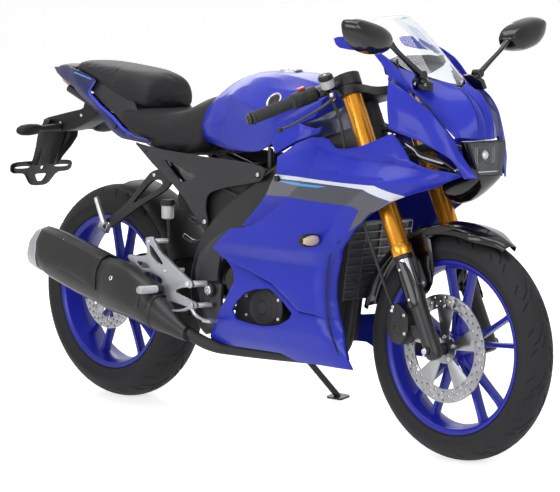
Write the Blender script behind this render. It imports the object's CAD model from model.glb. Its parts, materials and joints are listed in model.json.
import json
import math

import bmesh
import bpy
from mathutils import Matrix, Vector
from mathutils.geometry import delaunay_2d_cdt


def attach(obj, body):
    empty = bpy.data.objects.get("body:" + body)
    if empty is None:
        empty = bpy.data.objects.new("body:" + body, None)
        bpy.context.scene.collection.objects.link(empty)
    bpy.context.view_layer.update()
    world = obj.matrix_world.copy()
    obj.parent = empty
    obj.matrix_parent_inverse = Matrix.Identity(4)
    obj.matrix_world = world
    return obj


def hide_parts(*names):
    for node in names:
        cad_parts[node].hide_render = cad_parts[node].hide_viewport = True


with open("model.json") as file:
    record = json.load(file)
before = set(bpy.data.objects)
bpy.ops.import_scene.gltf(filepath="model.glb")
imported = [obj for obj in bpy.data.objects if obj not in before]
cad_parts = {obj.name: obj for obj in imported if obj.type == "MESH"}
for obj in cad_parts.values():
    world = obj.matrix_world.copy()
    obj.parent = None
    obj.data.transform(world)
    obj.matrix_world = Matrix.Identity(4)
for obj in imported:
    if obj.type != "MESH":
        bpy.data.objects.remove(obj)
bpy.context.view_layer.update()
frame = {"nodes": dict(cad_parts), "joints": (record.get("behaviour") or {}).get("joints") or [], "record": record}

# Pieces are drawn on the upright machine, in metres: X ahead of the rear axle, Y left, Z up from the ground.
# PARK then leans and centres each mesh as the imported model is.
LEAN_TURN = Matrix.Rotation(-math.radians(10), 4, "X")
REAR_AXLE = Vector((0, 0, 0.315))
FRONT_AXLE = Vector((1.345, 0, 0.297))
REAR_JOINT = next(joint for joint in frame["joints"] if joint["name"] == "rear_wheel_spin")
PARK = Matrix.Translation(Vector(REAR_JOINT["pos_m"]) - LEAN_TURN @ REAR_AXLE) @ LEAN_TURN
RAKE = math.radians(25.5)
STEER_UP = Vector((-math.sin(RAKE), 0, math.cos(RAKE)))
STEER_FRONT = Vector((math.cos(RAKE), 0, math.sin(RAKE)))
STEER_FOOT = Vector((1.433, 0, 0))
STEER_LOCK = math.radians(33)
LEG_SIDE = 0.105
FRONT_TYRE_RADIUS = 0.297
GRIP_RADIUS = 0.0165
# A turned shape ends this far from its own axis, so that no face there has zero area.
POLE = 0.0004


# Materials.

def linear(red, green, blue):
    """Screen colour, 0 to 255, as a linear colour."""
    def channel(value):
        value /= 255
        return value / 12.92 if value <= 0.04045 else ((value + 0.055) / 1.055) ** 2.4
    return (channel(red), channel(green), channel(blue), 1)


def node(tree, kind, **settings):
    """A shader node, with its sockets and properties set by name."""
    made = tree.nodes.new(kind)
    for name, value in settings.items():
        if name in made.inputs:
            made.inputs[name].default_value = value
        else:
            setattr(made, name, value)
    return made


def finish(name, colour, rough=0.4, metal=0.0, coat=0.0, grain=0.0, grain_size=400.0, wear=0.08, speck=0.0,
           **more):
    """A painted, moulded or cast finish: its colour drifts, and its grain is in the bump and the gloss."""
    material = bpy.data.materials.new(name)
    material.use_nodes = True
    tree = material.node_tree
    shader = tree.nodes["Principled BSDF"]
    shader.inputs["Metallic"].default_value = metal
    shader.inputs["Coat Weight"].default_value = coat
    shader.inputs["Coat Roughness"].default_value = 0.04
    for socket, value in more.items():
        shader.inputs[socket.replace("_", " ")].default_value = value
    place = node(tree, "ShaderNodeTexCoord")
    drift = node(tree, "ShaderNodeTexNoise", Scale=9.0, Detail=3.0)
    tree.links.new(place.outputs["Object"], drift.inputs["Vector"])
    tone = node(tree, "ShaderNodeValToRGB")
    dark = [channel * (1 - wear) for channel in colour[:3]] + [1]
    light = [min(1, channel * (1 + wear)) for channel in colour[:3]] + [1]
    tone.color_ramp.elements[0].position = 0.3
    tone.color_ramp.elements[1].position = 0.7
    tone.color_ramp.elements[0].color = dark
    tone.color_ramp.elements[1].color = light
    tree.links.new(drift.outputs["Fac"], tone.inputs["Fac"])
    fine = node(tree, "ShaderNodeTexNoise", Scale=grain_size, Detail=2.0)
    tree.links.new(place.outputs["Object"], fine.inputs["Vector"])
    colour_out = tone.outputs["Color"]
    if speck:
        flakes = node(tree, "ShaderNodeTexNoise", Scale=2600.0, Detail=1.0)
        tree.links.new(place.outputs["Object"], flakes.inputs["Vector"])
        spark = node(tree, "ShaderNodeMapRange")
        spark.inputs["From Min"].default_value = 0.35
        spark.inputs["From Max"].default_value = 0.75
        spark.inputs["To Min"].default_value = 1 - speck
        spark.inputs["To Max"].default_value = 1 + speck
        tree.links.new(flakes.outputs["Fac"], spark.inputs["Value"])
        mixed = node(tree, "ShaderNodeVectorMath", operation="SCALE")
        tree.links.new(colour_out, mixed.inputs[0])
        tree.links.new(spark.outputs["Result"], mixed.inputs["Scale"])
        colour_out = mixed.outputs["Vector"]
    tree.links.new(colour_out, shader.inputs["Base Color"])
    gloss = node(tree, "ShaderNodeMapRange")
    gloss.inputs["To Min"].default_value = max(0.02, rough * 0.85)
    gloss.inputs["To Max"].default_value = min(1.0, rough * 1.15)
    tree.links.new(fine.outputs["Fac"], gloss.inputs["Value"])
    tree.links.new(gloss.outputs["Result"], shader.inputs["Roughness"])
    if grain:
        bump = node(tree, "ShaderNodeBump", Strength=grain, Distance=0.0006)
        tree.links.new(fine.outputs["Fac"], bump.inputs["Height"])
        tree.links.new(bump.outputs["Normal"], shader.inputs["Normal"])
    return material


PAINT = {"blue": finish("blue_metallic_paint", linear(36, 46, 172), rough=0.36, coat=0.15, speck=0.10,
                        wear=0.03, Specular_IOR_Level=0.22), "blue_deep": finish("deep_blue_paint",
                                                                                 linear(18, 20, 84),
                                                                                 rough=0.36, coat=0.15,
                                                                                 speck=0.08, wear=0.03,
                                                                                 Specular_IOR_Level=0.22),
         "blue_bright": finish("bright_blue_paint", linear(56, 72, 214), rough=0.32, coat=0.15, speck=0.06,
                               wear=0.03, Specular_IOR_Level=0.25),
         "wheel_blue": finish("wheel_blue_paint", linear(30, 36, 158), rough=0.38, coat=0.15, grain=0.05,
                              wear=0.05, Specular_IOR_Level=0.3),
         "white": finish("white_stripe_film", linear(214, 218, 226), rough=0.25, coat=0.8, wear=0.03),
         "silver_film": finish("silver_stripe_film", linear(128, 134, 146), rough=0.30, metal=0.4, coat=0.8,
                               wear=0.04), "ink": finish("dark_stripe_film", linear(38, 40, 54), rough=0.30,
                                                         coat=0.8, wear=0.06),
         "cyan": finish("cyan_stripe_film", linear(20, 150, 228), rough=0.30, coat=0.8, wear=0.03),
         "grey": finish("dark_grey_moulding", linear(34, 34, 37), rough=0.48, grain=0.16, grain_size=900.0,
                        Specular_IOR_Level=0.35), "black": finish("black_moulding", linear(20, 20, 22),
                                                                  rough=0.5, grain=0.18, grain_size=900.0,
                                                                  Specular_IOR_Level=0.3),
         "gloss": finish("black_gloss_paint", linear(6, 6, 8), rough=0.16, coat=0.2, Specular_IOR_Level=0.35),
         "satin": finish("black_satin_metal", linear(20, 20, 22), rough=0.40, metal=0.2, grain=0.08,
                         grain_size=700.0), "frame": finish("frame_grey_powder_coat", linear(50, 50, 53),
                                                            rough=0.45, grain=0.22, grain_size=1100.0,
                                                            Specular_IOR_Level=0.3),
         "engine": finish("cast_engine_grey", linear(40, 40, 42), rough=0.55, metal=0.5, grain=0.35,
                          grain_size=600.0), "alloy": finish("cast_alloy", linear(170, 171, 176), rough=0.36,
                                                             metal=0.85, grain=0.16, grain_size=700.0),
         "bolt": finish("bright_bolt", linear(200, 200, 204), rough=0.25, metal=1.0),
         "steel": finish("brushed_disc_steel", linear(150, 150, 152), rough=0.30, metal=1.0, grain=0.10,
                         grain_size=1500.0), "chrome": finish("hard_chrome", linear(205, 205, 208),
                                                              rough=0.10, metal=1.0),
         "gold": finish("gold_anodised", linear(206, 136, 28), rough=0.24, metal=0.75, coat=0.3, grain=0.03,
                        grain_size=1600.0), "rubber": finish("tyre_rubber", linear(28, 28, 30), rough=0.72,
                                                             grain=0.3, grain_size=1200.0, wear=0.14,
                                                             Specular_IOR_Level=0.3),
         "grip": finish("grip_rubber", linear(30, 30, 31), rough=0.7, grain=0.4, grain_size=1400.0),
         "seat": finish("seat_leather", linear(30, 30, 32), rough=0.58, grain=0.55, grain_size=520.0,
                        wear=0.10, Specular_IOR_Level=0.25), "seat_panel": finish("seat_leather_smooth",
                                                                                  linear(24, 24, 26),
                                                                                  rough=0.62, grain=0.4,
                                                                                  grain_size=800.0,
                                                                                  Specular_IOR_Level=0.25),
         "red": finish("red_switch", linear(196, 30, 24), rough=0.4, coat=0.3),
         "lens_white": finish("lamp_reflector", linear(226, 228, 232), rough=0.15, metal=0.4, coat=1.0),
         "lens_red": finish("tail_lens_red", linear(150, 10, 14), rough=0.12, coat=1.0),
         "amber_lens": finish("indicator_lens", linear(226, 196, 168), rough=0.14, coat=1.0,
                              Subsurface_Weight=0.2), "fluid": finish("fluid_pot_plastic",
                                                                      linear(176, 176, 174), rough=0.4,
                                                                      coat=0.2, Subsurface_Weight=0.1),
         "fin": finish("radiator_fins", linear(120, 121, 124), rough=0.4, metal=0.8, grain=0.2,
                       grain_size=900.0),}


def clear(name, colour, rough=0.02, weight=0.92, alpha=1.0):
    """A transparent finish."""
    material = finish(name, colour, rough=rough, coat=0.0, wear=0.01, Transmission_Weight=weight, IOR=1.45,
                      Alpha=alpha)
    return material


PAINT["screen"] = clear("clear_screen", linear(236, 242, 246), rough=0.02, weight=1.0)
PAINT["glass"] = clear("lamp_glass", linear(236, 240, 244), rough=0.02, weight=1.0)

SLOT_FINISH = {"tread_rubber": "rubber", "rim_paint": "wheel_blue", "disc_steel": "steel",
               "gold_fork": "gold", "chrome": "chrome", "black_metal": "satin", "grip_rubber": "grip",
               "black_plastic": "black", "gloss_black": "gloss", "body_colour": "blue",
               "grey_plastic": "grey", "seat_cover": "seat", "lamp_glass": "glass", "clear_screen": "screen",
               "red_lens": "lens_red", "engine_metal": "engine", "radiator_metal": "fin",
               "steel_pipe": "engine", "cast_alloy": "alloy",}


def dress_frame():
    """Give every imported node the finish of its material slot."""
    for part in frame["record"]["subparts"]:
        body = frame["nodes"][part["node"]]
        body.data.materials.clear()
        body.data.materials.append(PAINT[SLOT_FINISH[part["material_slot"]]])


dress_frame()

# Shape helpers.

def smooth_line(points, steps=6, closed=False):
    """A smooth line through the points."""
    points = [Vector(point) for point in points]
    count = len(points)
    line = []
    spans = count if closed else count - 1
    for index in range(spans):
        if closed:
            p0, p1, p2, p3 = (points[(index + shift) % count] for shift in (-1, 0, 1, 2))
        else:
            p1, p2 = points[index], points[index + 1]
            p0 = points[index - 1] if index else p1 * 2 - p2
            p3 = points[index + 2] if index + 2 < count else p2 * 2 - p1
        for step in range(steps):
            t = step / steps
            line.append(0.5 * (2 * p1 + (p2 - p0) * t + (2 * p0 - 5 * p1 + 4 * p2 - p3) * t * t
                               + (3 * p1 - p0 - 3 * p2 + p3) * t ** 3))
    if not closed:
        line.append(points[-1])
    return line


def soften(points, passes=2, share=0.25):
    """Cut the corners of a closed outline."""
    for _ in range(passes):
        cut = []
        for index, point in enumerate(points):
            following = points[(index + 1) % len(points)]
            cut.append(tuple(a + (b - a) * share for a, b in zip(point, following)))
            cut.append(tuple(b + (a - b) * share for a, b in zip(point, following)))
        points = cut
    return points


def inside(x, z, outline):
    """Whether a point seen from the side lies in an outline."""
    hit = False
    last_x, last_z = outline[-1]
    for next_x, next_z in outline:
        if (next_z > z) != (last_z > z) and x < (last_x - next_x) * (z - next_z) / (last_z - next_z) + next_x:
            hit = not hit
        last_x, last_z = next_x, next_z
    return hit


def line_gap(x, z, line):
    """Distance from a point to an open line, with a sign: positive above it."""
    best, sign = 1e9, 1
    for (ax, az), (bx, bz) in zip(line, line[1:]):
        dx, dz = bx - ax, bz - az
        t = max(0, min(1, ((x - ax) * dx + (z - az) * dz) / (dx * dx + dz * dz)))
        gap = math.hypot(x - ax - dx * t, z - az - dz * t)
        if gap < best:
            best = gap
            sign = 1 if dx * (z - az) - dz * (x - ax) > 0 else -1
            sign = sign if dx > 0 else -sign
    return best * sign


def edge_gap(x, z, outline):
    """Distance from a point to a closed outline."""
    return abs(line_gap(x, z, list(outline) + [outline[0]]))


def ease(value):
    """A smooth step from 0 to 1."""
    value = max(0.0, min(1.0, value))
    return value * value * (3 - 2 * value)


def basis(axis):
    """Three square axes, the first along the given one."""
    axis = Vector(axis).normalized()
    side = axis.cross(Vector((0, 0, 1)) if abs(axis.z) < 0.9 else Vector((1, 0, 0))).normalized()
    return axis, side, axis.cross(side)


class Form:
    """A piece being built on the upright machine, with one finish for each of its faces."""

    def __init__(self, name, body, *finishes):
        self.name, self.body = name, body
        self.finishes = list(finishes)
        self.mesh = bmesh.new()

    def index(self, finish):
        if finish not in self.finishes:
            self.finishes.append(finish)
        return self.finishes.index(finish)

    def add(self, points, faces, finish, smooth=True):
        verts = [self.mesh.verts.new(point) for point in points]
        slot = self.index(finish)
        for face in faces:
            corners = [verts[i] for i in face]
            if len(set(corners)) == len(corners):
                made = self.mesh.faces.new(corners)
                made.material_index = slot
                made.smooth = smooth
        return verts

    def loft(self, rings, finish, closed=True, caps=True):
        """A skin through rings of equal count."""
        count = len(rings[0])
        points = [point for ring in rings for point in ring]
        faces = []
        for row in range(len(rings) - 1):
            for step in range(count if closed else count - 1):
                following = (step + 1) % count
                faces.append((row * count + step, row * count + following, (row + 1) * count + following,
                              (row + 1) * count + step))
        if caps and closed:
            faces.append(tuple(range(count)))
            faces.append(tuple((len(rings) - 1) * count + step for step in reversed(range(count))))
        return self.add(points, faces, finish)

    def lathe(self, profile, origin, axis, finish, sides=48, closed=True):
        """Turn a profile of (radius, distance along the axis)."""
        axis, side, up = basis(axis)
        origin = Vector(origin)
        rings = []
        for step in range(sides):
            turn = 2 * math.pi * step / sides
            out = side * math.cos(turn) + up * math.sin(turn)
            rings.append([origin + axis * reach + out * radius for radius, reach in profile])
        count = len(profile)
        faces = []
        for step in range(sides):
            following = (step + 1) % sides
            for spot in range(count if closed else count - 1):
                ahead = (spot + 1) % count
                faces.append((step * count + spot, step * count + ahead, following * count + ahead,
                              following * count + spot))
        return self.add([point for ring in rings for point in ring], faces, finish)

    def disc(self, origin, axis, radius, thick, finish, sides=32, edge=0.0012):
        """A solid round piece with broken edges."""
        self.lathe([(POLE, 0), (radius - edge, 0), (radius, edge), (radius, thick - edge),
                    (radius - edge, thick), (POLE, thick)], origin, axis, finish, sides)

    def rod(self, start, end, radius, finish, sides=20, edge=0.001, end_radius=None):
        start, end = Vector(start), Vector(end)
        far = radius if end_radius is None else end_radius
        length = (end - start).length
        self.lathe([(POLE, 0), (radius - edge, 0), (radius, edge), (far, length - edge), (far - edge, length),
                    (POLE, length)], start, end - start, finish, sides)

    def sweep(self, points, radius, finish, sides=12, steps=6, flat=1.0):
        """A round or oval bar along a smooth line; radius may be a list, one for each point."""
        radii = radius if isinstance(radius, (list, tuple)) else [radius] * len(points)
        line = smooth_line(points, steps)
        sizes = [item.x for item in smooth_line([(value, 0, 0) for value in radii], steps)]
        rings = []
        up = None
        for index, spot in enumerate(line):
            way = (line[min(index + 1, len(line) - 1)] - line[max(index - 1, 0)]).normalized()
            if up is None:
                _, side, up = basis(way)
            side = up.cross(way).normalized()
            up = way.cross(side).normalized()
            rings.append([spot + (side * math.cos(2 * math.pi * step / sides) + up
                                  * math.sin(2 * math.pi * step / sides) * flat) * sizes[index]
                          for step in range(sides)])
        self.loft(rings, finish)

    def block(self, low, high, finish, turn=None, pivot=None):
        low, high = Vector(low), Vector(high)
        points = [Vector((x, y, z)) for x in (low.x, high.x) for y in (low.y, high.y)
                  for z in (low.z, high.z)]
        if turn is not None:
            pivot = (low + high) / 2 if pivot is None else Vector(pivot)
            points = [turn @ (point - pivot) + pivot for point in points]
        self.add(points, [(0, 1, 3, 2), (4, 6, 7, 5), (0, 4, 5, 1), (2, 3, 7, 6), (0, 2, 6, 4), (1, 5, 7, 3)],
                 finish, False)

    def plate(self, outline, near, far, finish, holes=(), step=0.05, map_point=None, zones=(), folds=()):
        """A plate seen from the side; near and far give its faces' Y, as numbers or as functions of x and z."""
        points, faces, rims = spread(outline, holes, [zone for zone, _ in zones], step, folds)
        near_at = near if callable(near) else (lambda x, z: near)
        far_at = far if callable(far) else (lambda x, z: far)
        outer = [Vector((x, near_at(x, z), z)) for x, z in points]
        inner = [Vector((x, far_at(x, z), z)) for x, z in points]
        count = len(points)
        if map_point:
            outer = [map_point(point) for point in outer]
            inner = [map_point(point) for point in inner]
        base = self.index(finish)
        tags = []
        for face in faces:
            middle_x = sum(points[i][0] for i in face) / 3
            middle_z = sum(points[i][1] for i in face) / 3
            tag = base
            for zone, zone_finish in zones:
                if inside(middle_x, middle_z, zone):
                    tag = self.index(zone_finish)
            tags.append(tag)
        verts = [self.mesh.verts.new(point) for point in outer + inner]
        for face, tag in zip(faces, tags):
            made = self.mesh.faces.new([verts[i] for i in face])
            made.material_index, made.smooth = tag, True
            back = self.mesh.faces.new([verts[i + count] for i in reversed(face)])
            back.material_index, back.smooth = base, True
        for a, b in rims:
            made = self.mesh.faces.new([verts[b], verts[a], verts[a + count], verts[b + count]])
            made.material_index, made.smooth = base, True

    def bolt(self, spot, axis, radius, finish="bolt", tall=0.6):
        """A socket-head bolt."""
        high = radius * tall
        self.lathe([(POLE, high * 0.4), (radius * 0.5, high * 0.4), (radius * 0.55, high),
                    (radius * 0.85, high), (radius, high * 0.7), (radius, -radius * 0.4),
                    (POLE, -radius * 0.4)], spot, axis, finish, 16)

    def mirror(self):
        """Add the other side."""
        made = bmesh.ops.duplicate(self.mesh, geom=self.mesh.verts[:] + self.mesh.edges[:]
                                   + self.mesh.faces[:])
        verts = [item for item in made["geom"] if isinstance(item, bmesh.types.BMVert)]
        faces = [item for item in made["geom"] if isinstance(item, bmesh.types.BMFace)]
        for vert in verts:
            vert.co.y = -vert.co.y
        bmesh.ops.reverse_faces(self.mesh, faces=faces)
        return self

    def done(self, bevel=0.0, rounds=0, replaces=(), slot=None, sharp=38, segments=2, weld=0.00002,
             recalc=True):
        """Make the object: weld, park, round its edges, and give it to its body."""
        if weld:
            bmesh.ops.remove_doubles(self.mesh, verts=self.mesh.verts, dist=weld)
        if recalc:
            bmesh.ops.recalc_face_normals(self.mesh, faces=self.mesh.faces)
        mesh = bpy.data.meshes.new(self.name)
        self.mesh.to_mesh(mesh)
        self.mesh.free()
        mesh.transform(PARK)
        for finish in self.finishes:
            mesh.materials.append(PAINT[finish])
        piece = bpy.data.objects.new(self.name, mesh)
        bpy.context.scene.collection.objects.link(piece)
        if bevel:
            edge = piece.modifiers.new("edges", "BEVEL")
            edge.width = bevel
            edge.segments = segments
            edge.limit_method = "ANGLE"
            edge.angle_limit = math.radians(sharp)
            edge.use_clamp_overlap = True
        if rounds:
            smooth = piece.modifiers.new("rounds", "SUBSURF")
            smooth.levels = smooth.render_levels = rounds
        if bevel or rounds:
            settle(piece)
        piece.data.set_sharp_from_angle(angle=math.radians(sharp))
        return give(piece, self.body, replaces)


def settle(piece):
    """Turn what the modifiers make into the piece's own mesh."""
    graph = bpy.context.evaluated_depsgraph_get()
    made = bpy.data.meshes.new_from_object(piece.evaluated_get(graph))
    made.name = piece.name
    old = piece.data
    piece.modifiers.clear()
    piece.data = made
    bpy.data.meshes.remove(old)


def give(piece, body, replaces=()):
    """Put a piece on its body, with the nodes that it stands for."""
    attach(piece, body)
    if replaces:
        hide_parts(*replaces)
    return piece


def spread(outline, holes, rings, step, folds=()):
    """Triangles inside an outline, with the holes left out and the rings and folds kept as edges."""
    points, edges = [], []
    loops = [(list(loop), True) for loop in [outline, *holes, *rings]] + [(list(fold), False)
                                                                          for fold in folds]
    for loop, closed in loops:
        dense = []
        ends = loop[1:] + loop[:1] if closed else loop[1:]
        for (ax, az), (bx, bz) in zip(loop, ends):
            parts = max(1, round(math.hypot(bx - ax, bz - az) / step))
            for part in range(parts):
                dense.append((ax + (bx - ax) * part / parts, az + (bz - az) * part / parts))
        if not closed:
            dense.append(loop[-1])
        first, count = len(points), len(dense)
        points += dense
        edges += [(first + i, first + (i + 1) % count) for i in range(count if closed else count - 1)]
    xs = [x for x, _ in outline]
    zs = [z for _, z in outline]
    tall = step * 0.866
    lines = [loop + loop[:1] if closed else loop for loop, closed in loops]
    for row in range(int((max(zs) - min(zs)) / tall) + 1):
        z = min(zs) + (row + 0.5) * tall
        for column in range(int((max(xs) - min(xs)) / step) + 2):
            x = min(xs) + (column + 0.5 * (row % 2)) * step
            if inside(x, z, outline) and not any(inside(x, z, hole) for hole in holes):
                if all(abs(line_gap(x, z, line)) > step * 0.45 for line in lines):
                    points.append((x, z))
    verts, _, faces, _, _, _ = delaunay_2d_cdt([Vector(point) for point in points], edges, [], 0, 1e-6)
    flat_points = [(vert.x, vert.y) for vert in verts]
    kept = []
    for face in faces:
        x = sum(flat_points[i][0] for i in face) / len(face)
        z = sum(flat_points[i][1] for i in face) / len(face)
        if inside(x, z, outline) and not any(inside(x, z, hole) for hole in holes):
            kept.append(tuple(face))
    seen = {(a, b) for face in kept for a, b in zip(face, face[1:] + face[:1])}
    rims = [(a, b) for a, b in seen if (b, a) not in seen]
    return flat_points, kept, sorted(rims)


def fitted(line, x):
    """Breadth and height of a line at one station, smooth along it."""
    if x <= line[0][0]:
        return line[0][1], line[0][2]
    if x >= line[-1][0]:
        return line[-1][1], line[-1][2]
    index = next(i for i in range(len(line) - 1) if line[i][0] <= x <= line[i + 1][0])
    (x0, *start), (x1, *end) = line[index], line[index + 1]
    t = (x - x0) / (x1 - x0)
    values = []
    for k in (0, 1):
        slope = (end[k] - start[k]) / (x1 - x0)
        before = (start[k] - line[index - 1][1 + k]) / (x0 - line[index - 1][0]) if index else slope
        after = (line[index + 2][1 + k] - end[k]) / (line[index + 2][0]
                                                     - x1) if index + 2 < len(line) else slope
        m0, m1 = (before + slope) / 2 * (x1 - x0), (slope + after) / 2 * (x1 - x0)
        values.append((2 * t ** 3 - 3 * t * t + 1) * start[k] + (t ** 3 - 2 * t * t + t) * m0
                      + (3 * t * t - 2 * t ** 3) * end[k] + (t ** 3 - t * t) * m1)
    return tuple(values)


def guided(lines):
    """The breadth of a side panel, from creases that run along the machine, upper ones first."""
    def breadth(x, z):
        spots = [fitted(line, x) for line in lines]
        index = 0
        while index < len(spots) - 2 and z < spots[index + 1][1]:
            index += 1
        (b0, z0), (b1, z1) = spots[index], spots[index + 1]
        t = (z0 - z) / max(1e-4, z0 - z1)
        return b0 + (b1 - b0) * max(-0.6, min(1.6, t))
    return breadth


def flat(line):
    """A crease as seen from the side."""
    return [(x, z) for x, _, z in line]


# Fairing: creases as (ahead, breadth, height).

SHELF_EDGE = [(0.86, 0.168, 0.800), (0.95, 0.169, 0.836), (1.02, 0.168, 0.846), (1.10, 0.161, 0.836),
              (1.19, 0.158, 0.852), (1.25, 0.150, 0.862), (1.30, 0.136, 0.832), (1.36, 0.108, 0.792),
              (1.42, 0.084, 0.766)]
GROOVE_LIP = [(0.86, 0.180, 0.782), (0.95, 0.182, 0.806), (1.003, 0.174, 0.805), (1.082, 0.174, 0.797),
              (1.157, 0.175, 0.795), (1.272, 0.164, 0.782), (1.351, 0.137, 0.768), (1.389, 0.109, 0.757),
              (1.42, 0.085, 0.743)]
GROOVE_FOOT = [(0.86, 0.188, 0.776), (0.95, 0.190, 0.795), (1.003, 0.176, 0.796), (1.08, 0.168, 0.784),
               (1.155, 0.168, 0.778), (1.268, 0.157, 0.769), (1.31, 0.145, 0.763), (1.349, 0.131, 0.758),
               (1.39, 0.106, 0.752), (1.42, 0.083, 0.740)]
SHOULDER = [(0.86, 0.204, 0.735), (0.95, 0.208, 0.738), (1.003, 0.210, 0.738), (1.103, 0.210, 0.735),
            (1.191, 0.206, 0.732), (1.315, 0.178, 0.728), (1.355, 0.150, 0.731), (1.393, 0.110, 0.737),
            (1.42, 0.084, 0.736)]
FLANK = [(0.60, 0.194, 0.620), (0.70, 0.199, 0.628), (0.86, 0.206, 0.655), (1.00, 0.210, 0.660),
         (1.10, 0.208, 0.655), (1.20, 0.198, 0.668), (1.30, 0.176, 0.700), (1.42, 0.084, 0.730)]
CREASE = [(0.596, 0.192, 0.505), (0.662, 0.199, 0.517), (0.785, 0.206, 0.517), (0.878, 0.212, 0.522),
          (0.954, 0.215, 0.526), (1.022, 0.213, 0.532), (1.10, 0.200, 0.550)]
UNDER_CREASE = [(0.596, 0.188, 0.485), (0.662, 0.187, 0.494), (0.785, 0.189, 0.490), (0.878, 0.191, 0.490),
                (0.954, 0.192, 0.490), (1.022, 0.190, 0.496), (1.10, 0.186, 0.520)]
LOWER_FLANK = [(0.60, 0.188, 0.420), (0.80, 0.196, 0.420), (0.95, 0.198, 0.420), (1.05, 0.192, 0.420),
               (1.10, 0.188, 0.420)]
COWL_SEAM = [(0.596, 0.170, 0.500), (0.633, 0.173, 0.482), (0.737, 0.175, 0.458), (0.836, 0.178, 0.432),
             (0.894, 0.182, 0.400), (0.941, 0.188, 0.368), (1.046, 0.188, 0.357), (1.10, 0.180, 0.345)]
COWL_SHOULDER = [(0.56, 0.182, 0.360), (0.62, 0.188, 0.385), (0.68, 0.193, 0.388), (0.74, 0.196, 0.400),
                 (0.80, 0.198, 0.410), (0.86, 0.197, 0.396), (0.90, 0.196, 0.372), (0.95, 0.196, 0.348),
                 (1.05, 0.189, 0.335), (1.10, 0.179, 0.330)]
COWL_FLANK = [(0.56, 0.180, 0.290), (0.65, 0.188, 0.300), (0.80, 0.194, 0.300), (0.92, 0.195, 0.306),
              (1.05, 0.187, 0.300), (1.10, 0.178, 0.300)]
COWL_TURN = [(0.56, 0.172, 0.257), (0.70, 0.179, 0.260), (0.90, 0.181, 0.258), (1.10, 0.172, 0.250)]
COWL_FOOT = [(0.56, 0.148, 0.225), (0.80, 0.152, 0.220), (0.95, 0.158, 0.210), (1.10, 0.162, 0.215)]
FRONT_EDGE = [(1.398, 0.744), (1.346, 0.714), (1.301, 0.698), (1.231, 0.670), (1.172, 0.636), (1.116, 0.590),
              (1.076, 0.540), (1.054, 0.500), (1.044, 0.452), (1.045, 0.405), (1.056, 0.345), (1.078, 0.292),
              (1.108, 0.224)]
PANEL_OUTLINE = [(0.596, 0.505), (0.640, 0.538), (0.676, 0.564), (0.715, 0.568), (0.760, 0.577),
                 (0.807, 0.597), (0.869, 0.636), (0.914, 0.672), (0.959, 0.709), (0.988, 0.729),
                 (0.998, 0.748), (0.998, 0.780), (0.985, 0.808), (0.992, 0.828), (1.020, 0.824),
                 (1.047, 0.802), (1.082, 0.801), (1.136, 0.811), (1.190, 0.831), (1.236, 0.850),
                 (1.268, 0.822), (1.300, 0.782), (1.345, 0.765),
                 (1.398, 0.752)] + FRONT_EDGE[:-2] + [(1.000, 0.360), (0.941, 0.364), (0.894, 0.395),
                                                      (0.836, 0.429), (0.737, 0.455), (0.633, 0.479)]
VENT_OUTLINE = [(0.846, 0.768), (0.858, 0.729), (0.801, 0.669), (0.716, 0.595), (0.690, 0.572),
                (0.720, 0.562), (0.776, 0.572), (0.880, 0.630), (0.960, 0.700), (1.010, 0.735),
                (1.008, 0.800), (1.000, 0.826), (0.959, 0.826), (0.899, 0.806)]
COWL_OUTLINE = [(0.596, 0.498), (0.630, 0.476), (0.668, 0.447), (0.680, 0.418), (0.656, 0.374),
                (0.628, 0.342), (0.608, 0.304), (0.566, 0.252), (0.562, 0.242), (0.648, 0.234),
                (0.760, 0.236), (0.846, 0.238), (0.900, 0.222), (1.108, 0.222), (1.080, 0.290),
                (1.056, 0.350), (1.000, 0.356), (0.941, 0.360), (0.894, 0.391), (0.836, 0.425),
                (0.737, 0.451), (0.640, 0.474)]
WINDOW = [(0.676, 0.339), (0.693, 0.363), (0.730, 0.392), (0.772, 0.406), (0.823, 0.413), (0.854, 0.402),
          (0.885, 0.381), (0.916, 0.355), (0.905, 0.338), (0.863, 0.317), (0.801, 0.308), (0.738, 0.310),
          (0.692, 0.316)]
WHITE_STRIPE = [(0.80, 0.7225), (0.905, 0.722), (1.000, 0.720), (1.103, 0.717), (1.218, 0.716),
                (1.290, 0.686), (1.237, 0.676), (1.183, 0.704), (1.103, 0.708), (0.992, 0.711), (0.80, 0.711)]
SILVER_STRIPE = [(1.237, 0.676), (1.290, 0.686), (1.268, 0.668), (1.178, 0.626), (1.123, 0.593),
                 (1.108, 0.580), (1.170, 0.634)]
DARK_BAND = [(0.78, 0.661), (0.83, 0.710), (0.992, 0.710), (1.183, 0.703), (1.232, 0.675), (1.163, 0.627),
             (1.105, 0.588), (1.155, 0.647), (1.140, 0.658), (0.917, 0.665)]
CYAN_LINE = [(0.84, 0.7065), (1.055, 0.7035), (1.020, 0.6985), (0.91, 0.6985)]


def front_roll(x, z, wide):
    """How far the front edge is rolled in; low down it stays out of the turned tyre's way."""
    share = abs(line_gap(x, z, FRONT_EDGE)) / wide
    if share > 1 or x < ROLL_START:
        return 0
    low, high = ROLL_HEIGHTS
    depth = ROLL_DEPTHS[0] + (ROLL_DEPTHS[1] - ROLL_DEPTHS[0]) * ease((z - low) / (high - low))
    return depth * (1 - share) ** 2


ROLL_START = 0.98
ROLL_HEIGHTS = (0.25, 0.34)
ROLL_DEPTHS = (0.005, 0.034)


def fairing_breadth(x, z):
    """Half breadth of the fairing panel at a place seen from the side."""
    return guided_panel(x, z) - front_roll(x, z, 0.052)


def cowl_breadth(x, z):
    """Half breadth of the lower cowl at a place seen from the side."""
    return guided_cowl(x, z) - front_roll(x, z, 0.050)


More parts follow.
